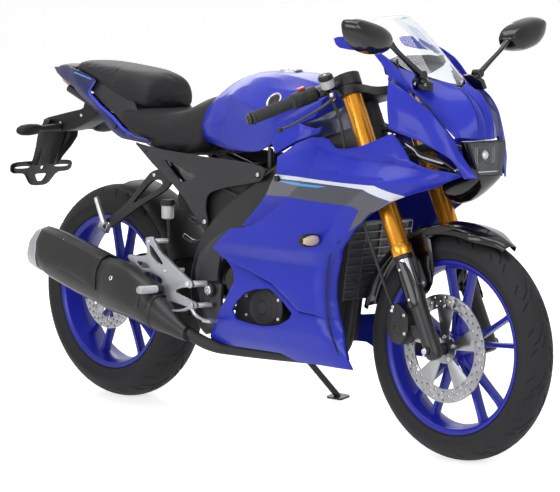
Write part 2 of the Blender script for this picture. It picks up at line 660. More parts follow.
guided_panel = guided([SHELF_EDGE, GROOVE_LIP, GROOVE_FOOT, SHOULDER, FLANK, CREASE, UNDER_CREASE,
                       LOWER_FLANK, COWL_SHOULDER])
guided_cowl = guided([COWL_SEAM, COWL_SHOULDER, COWL_FLANK, COWL_TURN, COWL_FOOT])


def fairings():
    """The striped side panels, the panels behind their notch, and the lower cowls with their window."""
    wall = 0.004
    panels = Form("fairing_panels", "chassis", "blue")
    stripes = [(WHITE_STRIPE, "white"), (SILVER_STRIPE, "silver_film"), (DARK_BAND, "ink"),
               (CYAN_LINE, "cyan")]
    folds = [flat(line) for line in (GROOVE_LIP, GROOVE_FOOT, SHOULDER, CREASE, UNDER_CREASE)]
    panels.plate(PANEL_OUTLINE, lambda x, z: -fairing_breadth(x, z),
                 lambda x, z: wall - fairing_breadth(x, z), "blue", step=0.011, zones=stripes, folds=folds)
    panels.mirror().done(bevel=0.0018, sharp=50, replaces=("fairing_left", "fairing_right"),
                         slot="body_colour")

    def vent_breadth(x, z):
        return guided_panel(x, z) - 0.004 - 0.028 * ease((0.735 - z) / 0.11)
    vents = Form("fairing_vent_panels", "chassis", "blue")
    vents.plate(VENT_OUTLINE, lambda x, z: -vent_breadth(x, z), lambda x, z: wall - vent_breadth(x, z),
                "blue", step=0.012, zones=[(WHITE_STRIPE, "white"), (DARK_BAND, "ink"), (CYAN_LINE, "cyan")])
    vents.mirror().done(bevel=0.0016, sharp=50, slot="body_colour")

    cowls = Form("lower_cowl_panels", "chassis", "blue")
    folds = [flat(line) for line in (COWL_SHOULDER, COWL_FLANK, COWL_TURN)]
    cowls.plate(COWL_OUTLINE, lambda x, z: -cowl_breadth(x, z), lambda x, z: 0.006 - cowl_breadth(x, z),
                "blue", holes=[WINDOW], step=0.012, folds=folds)
    cowls.mirror().done(bevel=0.002, sharp=50, replaces=("lower_cowls",), slot="body_colour")


# Nose, as lines of (ahead, breadth, height).

NOSE_TOP_LINES = [[(1.328, 0.000, 0.966), (1.372, 0.000, 0.944), (1.402, 0.000, 0.912), (1.418, 0.000, 0.875),
                   (1.424, 0.000, 0.838)], [(1.326, 0.012, 0.971), (1.372, 0.013, 0.950),
                                            (1.404, 0.014, 0.917), (1.420, 0.014, 0.878),
                                            (1.424, 0.014, 0.838)],
                  [(1.322, 0.026, 0.977), (1.370, 0.027, 0.955), (1.403, 0.028, 0.920), (1.419, 0.028, 0.880),
                   (1.421, 0.028, 0.839)], [(1.300, 0.050, 0.984), (1.348, 0.054, 0.946),
                                            (1.382, 0.055, 0.903), (1.402, 0.054, 0.870),
                                            (1.409, 0.052, 0.841)],
                  [(1.262, 0.076, 0.996), (1.312, 0.080, 0.953), (1.352, 0.078, 0.908), (1.380, 0.074, 0.872),
                   (1.396, 0.071, 0.844)], [(1.205, 0.108, 1.018), (1.256, 0.113, 0.963),
                                            (1.306, 0.104, 0.924), (1.348, 0.093, 0.880),
                                            (1.392, 0.083, 0.842)],]
NOSE_SIDE_TOP = [(1.214, 0.150, 0.984), (1.257, 0.150, 0.967), (1.301, 0.145, 0.943), (1.344, 0.130, 0.909),
                 (1.373, 0.112, 0.872), (1.394, 0.092, 0.836), (1.404, 0.080, 0.809), (1.421, 0.067, 0.776),
                 (1.442, 0.053, 0.742)]
NOSE_SIDE_MIDDLE = [(1.228, 0.168, 0.925), (1.272, 0.166, 0.910), (1.318, 0.154, 0.889),
                    (1.356, 0.134, 0.862), (1.384, 0.114, 0.834), (1.400, 0.100, 0.806),
                    (1.411, 0.088, 0.782), (1.421, 0.078, 0.764), (1.432, 0.067, 0.742)]
NOSE_SIDE_LOW = [(1.240, 0.173, 0.864), (1.273, 0.168, 0.852), (1.315, 0.156, 0.839), (1.352, 0.140, 0.822),
                 (1.380, 0.123, 0.805), (1.399, 0.106, 0.788), (1.408, 0.095, 0.770), (1.414, 0.087, 0.754),
                 (1.420, 0.081, 0.740)]


def right(line):
    """A line of (ahead, breadth, height) on the right side."""
    return [Vector((x, -b, z)) for x, b, z in line]


def sheet_of(form, lines, finish, steps=6, between=6, wall=0.003):
    """A curved panel through lines that run side by side, with a wall and closed edges."""
    long_lines = [smooth_line(right(line), steps) for line in lines]
    count = min(len(line) for line in long_lines)
    rows = []
    for across in range(count):
        column = [line[across] for line in long_lines]
        rows.append(smooth_line(column, between))
    across_count = len(rows[0])
    outer = [spot for row in rows for spot in row]
    normals = []
    for i in range(count):
        for j in range(across_count):
            along = rows[min(i + 1, count - 1)][j] - rows[max(i - 1, 0)][j]
            over = rows[i][min(j + 1, across_count - 1)] - rows[i][max(j - 1, 0)]
            normals.append(along.cross(over).normalized())
    middle = sum(outer, Vector()) / len(outer)
    hub = Vector((middle.x - 0.2, 0, middle.z - 0.15))
    flip = sum((spot - hub).dot(normal) for spot, normal in zip(outer, normals)) < 0
    normals = [-normal if flip else normal for normal in normals]
    inner = [spot - normal * wall for spot, normal in zip(outer, normals)]
    total = len(outer)
    faces = []
    for i in range(count - 1):
        for j in range(across_count - 1):
            a = i * across_count + j
            b, c, d = a + 1, a + across_count + 1, a + across_count
            faces += [(a, b, c, d), (d + total, c + total, b + total, a + total)]
    border = [j for j in range(across_count)] + [i * across_count + across_count - 1 for i in range(1, count)]
    border += [(count - 1) * across_count + j for j in range(across_count - 2, -1, -1)]
    border += [i * across_count for i in range(count - 2, 0, -1)]
    for a, b in zip(border, border[1:] + border[:1]):
        faces.append((b, a, a + total, b + total))
    form.add(outer + inner, faces, finish)


def nose():
    """The nose's shell over the lamp."""
    shell = Form("nose_shell", "chassis", "blue")
    for line_set in (NOSE_TOP_LINES[:3], NOSE_TOP_LINES[2:]):
        sheet_of(shell, line_set, "blue", steps=8, between=6)
    groove_high = [(x, b - 0.004, z - 0.012) for x, b, z in NOSE_TOP_LINES[-1]]
    groove_low = [(x, b - 0.010, z - 0.004) for x, b, z in (NOSE_SIDE_TOP[0], NOSE_SIDE_TOP[1],
                                                            NOSE_SIDE_TOP[3], NOSE_SIDE_TOP[4],
                                                            NOSE_SIDE_TOP[5])]
    sheet_of(shell, [groove_high, groove_low], "blue_deep", steps=8, between=2)
    sheet_of(shell, [NOSE_SIDE_TOP, NOSE_SIDE_MIDDLE, NOSE_SIDE_LOW], "blue", steps=6, between=6, wall=0.004)
    shell.mirror().done(bevel=0.0012, sharp=50, replaces=("nose_cowl",), slot="body_colour")


# Tank: guide lines along its right side, from the middle of its top down to its underside.
TANK_LINES = [[(0.386, 0.000, 0.842), (0.400, 0.000, 0.855), (0.425, 0.000, 0.882), (0.445, 0.000, 0.908),
               (0.470, 0.000, 0.931), (0.500, 0.000, 0.949), (0.535, 0.000, 0.966), (0.570, 0.000, 0.978),
               (0.620, 0.000, 0.985), (0.700, 0.000, 0.987), (0.780, 0.000, 0.985), (0.850, 0.000, 0.976),
               (0.900, 0.000, 0.963), (0.926, 0.000, 0.950)],
              [(0.386, 0.030, 0.838), (0.440, 0.040, 0.894), (0.500, 0.046, 0.938), (0.555, 0.050, 0.962),
               (0.606, 0.054, 0.976), (0.681, 0.058, 0.983), (0.740, 0.062, 0.982), (0.803, 0.066, 0.975),
               (0.864, 0.068, 0.964), (0.900, 0.066, 0.953), (0.926, 0.062, 0.942)],
              [(0.386, 0.040, 0.834), (0.440, 0.056, 0.886), (0.500, 0.066, 0.926), (0.555, 0.071, 0.949),
               (0.606, 0.076, 0.962), (0.681, 0.084, 0.973), (0.740, 0.088, 0.970), (0.803, 0.090, 0.962),
               (0.864, 0.091, 0.952), (0.900, 0.088, 0.942), (0.926, 0.082, 0.930)],
              [(0.386, 0.052, 0.830), (0.440, 0.076, 0.872), (0.500, 0.095, 0.902), (0.540, 0.104, 0.912),
               (0.575, 0.110, 0.922), (0.618, 0.106, 0.943), (0.695, 0.110, 0.950), (0.754, 0.117, 0.946),
               (0.807, 0.121, 0.943), (0.866, 0.121, 0.942), (0.900, 0.115, 0.932), (0.926, 0.104, 0.917)],
              [(0.386, 0.062, 0.822), (0.440, 0.089, 0.848), (0.500, 0.109, 0.868), (0.545, 0.114, 0.880),
               (0.575, 0.118, 0.917), (0.620, 0.134, 0.911), (0.674, 0.149, 0.901), (0.720, 0.159, 0.892),
               (0.754, 0.164, 0.885), (0.800, 0.167, 0.880), (0.850, 0.167, 0.878), (0.900, 0.152, 0.884),
               (0.926, 0.140, 0.888)], [(0.386, 0.069, 0.813), (0.440, 0.098, 0.824), (0.500, 0.117, 0.836),
                                        (0.545, 0.121, 0.846), (0.575, 0.124, 0.862), (0.620, 0.129, 0.858),
                                        (0.674, 0.138, 0.850), (0.720, 0.147, 0.846), (0.754, 0.154, 0.844),
                                        (0.800, 0.163, 0.844), (0.850, 0.168, 0.856), (0.900, 0.151, 0.872),
                                        (0.926, 0.140, 0.880)],
              [(0.386, 0.066, 0.804), (0.440, 0.094, 0.800), (0.500, 0.111, 0.800), (0.545, 0.115, 0.796),
               (0.575, 0.121, 0.800), (0.620, 0.130, 0.804), (0.674, 0.140, 0.804), (0.720, 0.150, 0.804),
               (0.754, 0.157, 0.806), (0.800, 0.165, 0.816), (0.850, 0.166, 0.846), (0.900, 0.144, 0.866),
               (0.926, 0.132, 0.874)], [(0.386, 0.056, 0.797), (0.440, 0.082, 0.784), (0.500, 0.100, 0.778),
                                        (0.545, 0.110, 0.772), (0.575, 0.118, 0.768), (0.620, 0.127, 0.768),
                                        (0.674, 0.138, 0.768), (0.720, 0.147, 0.772), (0.754, 0.154, 0.780),
                                        (0.800, 0.160, 0.800), (0.850, 0.154, 0.836), (0.900, 0.132, 0.862),
                                        (0.926, 0.118, 0.870)],
              [(0.386, 0.030, 0.794), (0.440, 0.050, 0.782), (0.500, 0.066, 0.776), (0.620, 0.084, 0.774),
               (0.720, 0.100, 0.788), (0.800, 0.110, 0.820), (0.850, 0.108, 0.850), (0.926, 0.080, 0.884)],
              [(0.386, 0.000, 0.793), (0.440, 0.000, 0.781), (0.500, 0.000, 0.777), (0.620, 0.000, 0.776),
               (0.740, 0.000, 0.792), (0.850, 0.000, 0.860), (0.926, 0.000, 0.905)],]
CAP_X, CAP_Z, CAP_RADIUS = 0.700, 0.983, 0.038
LOUVRE = [(0.822, 0.934), (0.892, 0.938), (0.886, 0.922), (0.846, 0.918)]


def tank_ring(x):
    """The tank's section at one station."""
    half = [fitted(line, x) for line in TANK_LINES]
    ring = [Vector((x, -b, z)) for b, z in half]
    return ring + [Vector((x, b, z)) for b, z in reversed(half[1:-1])]


def tank():
    """The tank's skin, cut round the fuel cap's well."""
    shell = Form("tank_skin", "chassis", "blue")
    stations = [0.386, 0.398, 0.412, 0.426, 0.44, 0.455, 0.47, 0.485, 0.50, 0.52, 0.54, 0.556, 0.568, 0.578,
                0.59, 0.605, 0.62, 0.64, 0.66, 0.68, 0.70, 0.72, 0.74, 0.76, 0.78, 0.80, 0.82, 0.84, 0.86,
                0.88, 0.90, 0.914, 0.926]
    rings = [tank_ring(x) for x in stations]
    shell.loft(rings, "blue")
    piece = shell.done(bevel=0.007, sharp=11, segments=4, replaces=("fuel_tank",), slot="body_colour")
    well = Form("well_cutter", "chassis", "satin")
    well.lathe([(POLE, -0.004), (CAP_RADIUS + 0.0014, -0.004), (CAP_RADIUS + 0.0014, 0.04), (POLE, 0.04)],
               (CAP_X, 0, CAP_Z), (0, 0, 1), "satin", 64)
    cut_from(piece, well)
    cut_from(piece, bar_room())

    trim = Form("tank_emblem_places", "chassis", "satin")
    spot, out = side_spot(0.783, 0.914)
    trim.lathe([(POLE, 0.0006), (0.0205, 0.0006), (0.0212, 0.0022), (0.0246, 0.0024), (0.0254, 0.0008),
                (0.0254, -0.006), (POLE, -0.006)], spot, out, "bolt", 56)
    trim.lathe([(POLE, 0.0012), (0.0196, 0.0010), (0.0202, 0.0002), (0.0202, -0.005), (POLE, -0.005)], spot,
               out, "gloss", 48)
    frame_of = [Vector((x, side_spot(x, z)[0].y - 0.0006, z)) for x, z in LOUVRE]
    middle = sum(frame_of, Vector()) / 4
    low = [point + (middle - point) * 0.05 + Vector((0, 0.006, 0)) for point in frame_of]
    trim.loft([low, frame_of], "gloss")
    for step in range(4):
        share = 0.14 + step * 0.22
        top = frame_of[0].lerp(frame_of[1], share)
        foot = frame_of[3].lerp(frame_of[2], share)
        along_edge = (frame_of[1] - frame_of[0]).normalized() * 0.0052
        bar = [top, top + along_edge, foot + along_edge, foot]
        trim.loft([[point + Vector((0, 0.004, 0)) for point in bar],
                   [point + Vector((0, -0.0016, 0)) for point in bar]], "blue")
    trim.mirror().done(bevel=0.0005)

    cap = Form("fuel_cap_lid", "fuel_cap", "alloy")
    cap.lathe([(POLE, 0.0012), (0.012, 0.0012), (0.0128, 0.0020), (0.0128, 0.0062), (0.0148, 0.0070),
               (0.031, 0.0070), (0.0322, 0.0062), (0.0322, 0.0040), (0.0340, 0.0034), (0.0366, 0.0036),
               (0.0376, 0.0022), (0.0376, 0.0003), (POLE, 0.0003)], (CAP_X, 0, CAP_Z + 0.0004), (0, 0, 1),
              "alloy", 72)
    for vert in cap.mesh.verts:
        vert.co.x = min(vert.co.x, CAP_X + 0.0325)
    cap.block((CAP_X - 0.005, -0.0012, CAP_Z + 0.001), (CAP_X + 0.005, 0.0012, CAP_Z + 0.0042), "gloss")
    cap.rod((CAP_X + 0.0327, -0.011, CAP_Z + 0.0073), (CAP_X + 0.0327, 0.011, CAP_Z + 0.0073), 0.0033,
            "alloy", 18)
    for step in range(6):
        turn_at = math.radians(30 + 60 * step)
        cap.bolt((CAP_X + 0.0262 * math.cos(turn_at), 0.0262 * math.sin(turn_at), CAP_Z + 0.0072), (0, 0, 1),
                 0.0032, "satin", 0.4)
    cap.done(bevel=0.0004, sharp=30, replaces=("fuel_cap",), slot="black_metal")


def bar_room():
    """The room beside the tank that the bar and its switches take at full lock, on both sides."""
    lock = Matrix.Translation(STEER_FOOT) @ Matrix.Rotation(-STEER_LOCK, 4,
                                                            STEER_UP) @ Matrix.Translation(-STEER_FOOT)
    room = Form("bar_room", "chassis", "satin")
    room.rod(lock @ Vector(BAR_ROOT), lock @ Vector(BAR_END), BAR_ROOM_RADIUS, "satin", 48)
    return room.mirror()


BAR_ROOM_RADIUS = 0.043


def cut_from(piece, cutter_form):
    """Cut a form out of a finished piece."""
    cutter = cutter_form.done()
    cut = piece.modifiers.new("cut", "BOOLEAN")
    cut.operation, cut.solver, cut.object = "DIFFERENCE", "EXACT", cutter
    settle(piece)
    piece.data.set_sharp_from_angle(angle=math.radians(38))
    bpy.data.objects.remove(cutter)


def side_spot(x, z):
    """The tank's surface and its way out, at a place seen from the side."""
    def at_side(x_at, z_at):
        half = [fitted(line, x_at) for line in TANK_LINES]
        for (b0, z0), (b1, z1) in zip(half, half[1:]):
            if z0 >= z_at >= z1:
                return b0 + (b1 - b0) * (z0 - z_at) / max(1e-6, z0 - z1)
        return half[4][0]
    here = Vector((x, -at_side(x, z), z))
    ahead = Vector((x + 0.004, -at_side(x + 0.004, z), z)) - here
    above = Vector((x, -at_side(x, z + 0.004), z + 0.004)) - here
    out = ahead.cross(above).normalized()
    return here, out if out.y < 0 else -out


TANK_WING = [(0.806, 0.800), (0.818, 0.774), (0.860, 0.794), (0.899, 0.812), (0.930, 0.824), (0.962, 0.834),
             (0.973, 0.854), (0.948, 0.847), (0.920, 0.851), (0.892, 0.861), (0.862, 0.866), (0.840, 0.866),
             (0.822, 0.840)]


def tank_wings():
    """The painted shrouds that run ahead of the tank to the fairing."""
    wing = Form("tank_shrouds", "chassis", "blue")

    def face(x, z):
        tuck = ease((x - 0.895) / 0.045)
        return -(0.1705 - 0.010 * ease((z - 0.80) / 0.05) * (1 - tuck) - 0.0225 * tuck)

    def back(x, z):
        return -(0.150 - 0.0095 * ease((x - 0.895) / 0.045))

    wing.plate(TANK_WING, face, back, "blue", step=0.012)
    wing.mirror().done(bevel=0.0025, segments=3, sharp=40, replaces=("tank_wings",), slot="body_colour")


# Seats: cloth panels over shaped pads.
RIDER_RINGS = [(0.088, [(0, 0.846), (0.060, 0.852), (0.100, 0.860), (0.118, 0.856), (0.120, 0.842),
                        (0.108, 0.832), (0, 0.832)]), (0.150,
                                                       [(0, 0.852), (0.062, 0.858), (0.104, 0.864),
                                                        (0.126, 0.850), (0.132, 0.820), (0.118, 0.796),
                                                        (0, 0.796)]),
               (0.200, [(0, 0.860), (0.058, 0.861), (0.104, 0.859), (0.130, 0.842), (0.138, 0.806),
                        (0.126, 0.776), (0, 0.776)]), (0.250,
                                                       [(0, 0.854), (0.056, 0.853), (0.104, 0.848),
                                                        (0.132, 0.830), (0.141, 0.794), (0.130, 0.762),
                                                        (0, 0.762)]),
               (0.300, [(0, 0.852), (0.054, 0.850), (0.098, 0.844), (0.128, 0.824), (0.140, 0.786),
                        (0.130, 0.753), (0, 0.753)]), (0.345,
                                                       [(0, 0.866), (0.050, 0.863), (0.090, 0.852),
                                                        (0.120, 0.824), (0.134, 0.784), (0.126, 0.748),
                                                        (0, 0.748)]),
               (0.390, [(0, 0.894), (0.048, 0.889), (0.086, 0.868), (0.114, 0.830), (0.127, 0.784),
                        (0.120, 0.746), (0, 0.746)]), (0.430,
                                                       [(0, 0.914), (0.050, 0.906), (0.090, 0.876),
                                                        (0.117, 0.830), (0.125, 0.782), (0.118, 0.746),
                                                        (0, 0.746)]),
               (0.470, [(0, 0.912), (0.048, 0.900), (0.086, 0.868), (0.113, 0.822), (0.120, 0.780),
                        (0.110, 0.750), (0, 0.750)]),]
PILLION_RINGS = [(0.206, [(0, 0.934), (0.040, 0.932), (0.068, 0.922), (0.082, 0.900), (0.084, 0.872),
                          (0.072, 0.858), (0, 0.858)]), (0.192,
                                                         [(0, 0.954), (0.046, 0.952), (0.078, 0.942),
                                                          (0.096, 0.914), (0.100, 0.876), (0.088, 0.858),
                                                          (0, 0.858)]),
                 (0.150, [(0, 0.964), (0.048, 0.963), (0.084, 0.954), (0.106, 0.930), (0.112, 0.888),
                          (0.100, 0.866), (0, 0.866)]), (0.100,
                                                         [(0, 0.971), (0.050, 0.970), (0.086, 0.963),
                                                          (0.108, 0.944), (0.114, 0.906), (0.102, 0.884),
                                                          (0, 0.884)]),
                 (0.050, [(0, 0.976), (0.048, 0.975), (0.082, 0.969), (0.104, 0.954), (0.110, 0.924),
                          (0.100, 0.902), (0, 0.902)]), (0.000,
                                                         [(0, 0.981), (0.046, 0.980), (0.078, 0.975),
                                                          (0.098, 0.962), (0.104, 0.940), (0.094, 0.918),
                                                          (0, 0.918)]),
                 (-0.060, [(0, 0.986), (0.042, 0.985), (0.070, 0.981), (0.088, 0.971), (0.093, 0.954),
                           (0.084, 0.934), (0, 0.934)]), (-0.115,
                                                          [(0, 0.988), (0.036, 0.988), (0.060, 0.985),
                                                           (0.077, 0.976), (0.082, 0.962), (0.072, 0.946),
                                                           (0, 0.946)]),
                 (-0.172, [(0, 0.985), (0.024, 0.985), (0.042, 0.982), (0.055, 0.975), (0.059, 0.964),
                           (0.050, 0.954), (0, 0.952)]),]


def seat_pad(name, table, node_name, cap, panels):
    """One padded seat: its form is remeshed, blown up a little as cloth, and capped."""
    form = Form(name, "chassis", "seat")
    rings = []
    for x, half in table:
        ring = [Vector((x, -b, z)) for b, z in half] + [Vector((x, b, z)) for b, z in reversed(half[1:-1])]
        rings.append(ring)
    form.loft(rings, "seat")
    bmesh.ops.recalc_face_normals(form.mesh, faces=form.mesh.faces)
    mesh = bpy.data.meshes.new(name)
    form.mesh.to_mesh(mesh)
    form.mesh.free()
    piece = bpy.data.objects.new(name, mesh)
    bpy.context.scene.collection.objects.link(piece)
    smooth = piece.modifiers.new("rounds", "SUBSURF")
    smooth.levels = smooth.render_levels = 2
    settle(piece)
    mesh = piece.data
    mesh.transform(PARK)
    grid = piece.modifiers.new("grid", "REMESH")
    grid.mode, grid.voxel_size = "VOXEL", 0.0045
    settle(piece)
    rest = [vert.co.copy() for vert in piece.data.vertices]
    cloth = piece.modifiers.new("cloth", "CLOTH")
    cloth.settings.quality = 6
    cloth.settings.mass = 0.3
    cloth.settings.tension_stiffness = 40
    cloth.settings.compression_stiffness = 40
    cloth.settings.bending_stiffness = 2
    cloth.settings.use_pressure = True
    cloth.settings.uniform_pressure_force = 4
    cloth.settings.effector_weights.gravity = 0
    cloth.point_cache.frame_start = 1
    cloth.point_cache.frame_end = 20
    scene = bpy.context.scene
    for step in range(1, 21):
        scene.frame_set(step)
    settle(piece)
    scene.frame_set(1)
    for vert, start in zip(piece.data.vertices, rest):
        move = vert.co - start
        if move.length > cap:
            vert.co = start + move * (cap / move.length)
    smooth = piece.modifiers.new("rounds", "SUBSURF")
    smooth.levels = smooth.render_levels = 1
    settle(piece)
    piece.data.materials.clear()
    for finish_name in panels[0]:
        piece.data.materials.append(PAINT[finish_name])
    back = PARK.inverted()
    for face in piece.data.polygons:
        face.use_smooth = True
        face.material_index = panels[1](back @ face.center)
    give(piece, "chassis", (node_name,))


def seats():
    """Both saddles and the pillion seat's lock."""
    seat_pad("rider_saddle", RIDER_RINGS, "rider_seat", 0.006,
             (("seat", "seat_panel"), lambda spot: 1 if abs(spot.y) > 0.100 - 0.2 * max(0, spot.x - 0.30)
              else 0))
    seat_pad("pillion_saddle", PILLION_RINGS, "pillion_seat", 0.005,
             (("seat", "seat_panel"), lambda spot: 1 if spot.z < 0.930 - 0.20 * (spot.x - 0.06) and spot.x >
              -0.02 else 0))
    lock = Form("seat_lock", "chassis", "bolt", "gloss")
    spot = Vector((0.183, -0.066, 0.905))
    side = Vector((0.62, -0.70, 0.20)).normalized()
    lock.lathe([(POLE, 0.0010), (0.0100, 0.0010), (0.0112, 0.0000), (0.0112, -0.010), (POLE, -0.010)], spot,
               side, "gloss", 32)
    lock.lathe([(POLE, 0.0024), (0.0052, 0.0024), (0.0060, 0.0016), (0.0060, -0.006), (POLE, -0.006)], spot,
               side, "bolt", 28)
    lock.lathe([(POLE, 0.0028), (0.0012, 0.0028), (0.0012, 0.0), (POLE, 0.0)], spot, side, "gloss", 12)
    lock.done()


# Tail: creases along its right side.
TAIL_TOP = [(-0.296, 0.030, 0.972), (-0.230, 0.052, 0.974), (-0.178, 0.068, 0.969), (-0.145, 0.079, 0.953),
            (-0.100, 0.087, 0.928), (-0.039, 0.097, 0.899), (0.016, 0.106, 0.870), (0.084, 0.113, 0.841),
            (0.129, 0.118, 0.814), (0.200, 0.128, 0.799), (0.285, 0.136, 0.799)]
TAIL_RIDGE = [(-0.296, 0.038, 0.955), (-0.230, 0.060, 0.946), (-0.160, 0.076, 0.928), (-0.100, 0.090, 0.912),
              (-0.029, 0.104, 0.882), (0.050, 0.116, 0.838), (0.120, 0.128, 0.800), (0.200, 0.136, 0.790),
              (0.285, 0.142, 0.786)]
TAIL_LOW = [(-0.296, 0.034, 0.944), (-0.230, 0.056, 0.932), (-0.150, 0.074, 0.912), (-0.103, 0.084, 0.890),
            (-0.029, 0.098, 0.862), (0.062, 0.112, 0.801), (0.129, 0.122, 0.776), (0.200, 0.130, 0.770),
            (0.285, 0.140, 0.768)]
TAIL_OUTLINE = [(-0.290, 0.966), (-0.180, 0.972), (-0.120, 0.963), (-0.060, 0.950), (-0.024, 0.940),
                (-0.019, 0.934), (-0.038, 0.916), (-0.050, 0.904), (-0.039, 0.897), (0.016, 0.867),
                (0.050, 0.852), (0.084, 0.837), (0.129, 0.810), (0.165, 0.798), (0.205, 0.788),
                (0.262, 0.781), (0.276, 0.772), (0.261, 0.768), (0.129, 0.776), (0.096, 0.786),
                (0.062, 0.800), (-0.029, 0.860), (-0.103, 0.886), (-0.128, 0.899), (-0.150, 0.912),
                (-0.190, 0.926), (-0.230, 0.940)]
TAIL_LIP = [(-0.019, 0.934), (-0.038, 0.916), (-0.050, 0.904), (-0.039, 0.897), (0.016, 0.867),
            (0.050, 0.852), (0.084, 0.837), (0.129, 0.810), (0.165, 0.798), (0.205, 0.788), (0.262, 0.781),
            (0.262, 0.7785), (0.205, 0.7845), (0.163, 0.793), (0.126, 0.805), (0.080, 0.831), (0.046, 0.846),
            (0.012, 0.861), (-0.044, 0.891), (-0.058, 0.903), (-0.044, 0.919), (-0.028, 0.934)]
TAIL_CYAN = [(-0.142, 0.9540), (-0.136, 0.9575), (-0.046, 0.9405), (-0.043, 0.9370)]


def tail():
    """The tail's painted panels with their trim and lamp."""
    panel = Form("tail_panels", "chassis", "blue_deep")
    wide = guided([TAIL_TOP, TAIL_RIDGE, TAIL_LOW])
    panel.plate(TAIL_OUTLINE, lambda x, z: -wide(x, z), lambda x, z: -wide(x, z) + 0.0035, "blue_deep",
                step=0.012, zones=[(TAIL_LIP, "blue_bright"), (TAIL_CYAN, "cyan")])
    panel.mirror().done(bevel=0.0012, sharp=50, replaces=("tail_cowls",), slot="body_colour")

    inner = Form("tail_side_trim", "chassis", "grey")
    outline = [(-0.150, 0.958), (-0.118, 0.935), (-0.090, 0.924), (-0.040, 0.900), (0.016, 0.870),
               (0.084, 0.840), (0.129, 0.813), (0.190, 0.801), (0.190, 0.846), (0.160, 0.880), (0.128, 0.896),
               (0.080, 0.908), (0.020, 0.928), (-0.050, 0.948), (-0.110, 0.958)]
    inner.plate(outline, lambda x, z: -wide(x, z) + 0.004 + 0.10 * max(0, z - 0.85 + 0.35 * (x + 0.05)),
                lambda x, z: -wide(x, z) + 0.0075 + 0.10 * max(0, z - 0.85 + 0.35 * (x + 0.05)), "grey",
                step=0.012)
    inner.mirror().done(bevel=0.001, sharp=50)

    top = Form("tail_top", "chassis", "grey")
    rings = []
    for x, wide_at, z in ((-0.170, 0.058, 0.974), (-0.200, 0.052, 0.977), (-0.235, 0.044, 0.978),
                          (-0.270, 0.034, 0.974), (-0.292, 0.026, 0.966)):
        rings.append([Vector((x, b * wide_at, z - drop))
                      for b, drop in ((-1, 0.010), (-0.8, 0.003), (-0.3, 0), (0.3, 0), (0.8, 0.003), (1, 0.010),
                               (0.9, 0.020), (-0.9, 0.020))])
    top.loft(rings, "grey")
    top.done(bevel=0.003, segments=3, sharp=25)

    lamp = Form("tail_light", "chassis", "lens_red")
    lamp.loft([[Vector((-0.2025, y, z)) for y, z in ((-0.043, 0.956), (0.043, 0.956), (0.038, 0.902),
                                                     (-0.038, 0.902))],
               [Vector((-0.260, y, z)) for y, z in ((-0.026, 0.958), (0.026, 0.958), (0.024, 0.922),
                                                    (-0.024, 0.922))],
               [Vector((-0.294, y, z)) for y, z in ((-0.014, 0.960), (0.014, 0.960), (0.013, 0.945),
                                                    (-0.013, 0.945))]], "lens_red")
    lamp.done(bevel=0.003, segments=3, replaces=("tail_lamp",), slot="red_lens")


# Wheels.
RIM_REACH = 0.227
TREAD_MARKS = {
    "front": (15, [[(0.000, 0.006), (0.020, 0.012), (0.040, 0.022), (0.054, 0.036)],
                   [(0.034, 0.006), (0.048, 0.010), (0.060, 0.016)],
                   [(0.012, 0.034), (0.022, 0.042), (0.030, 0.050)],
                   [(0.066, 0.030), (0.074, 0.038), (0.084, 0.047)]]),
    "rear": (13, [[(0.000, 0.006), (0.028, 0.014), (0.056, 0.028), (0.076, 0.050)],
                  [(0.046, 0.006), (0.062, 0.012), (0.080, 0.020)],
                  [(0.014, 0.044), (0.026, 0.056), (0.036, 0.068)],
                  [(0.094, 0.036), (0.104, 0.048), (0.116, 0.062)]]),
}


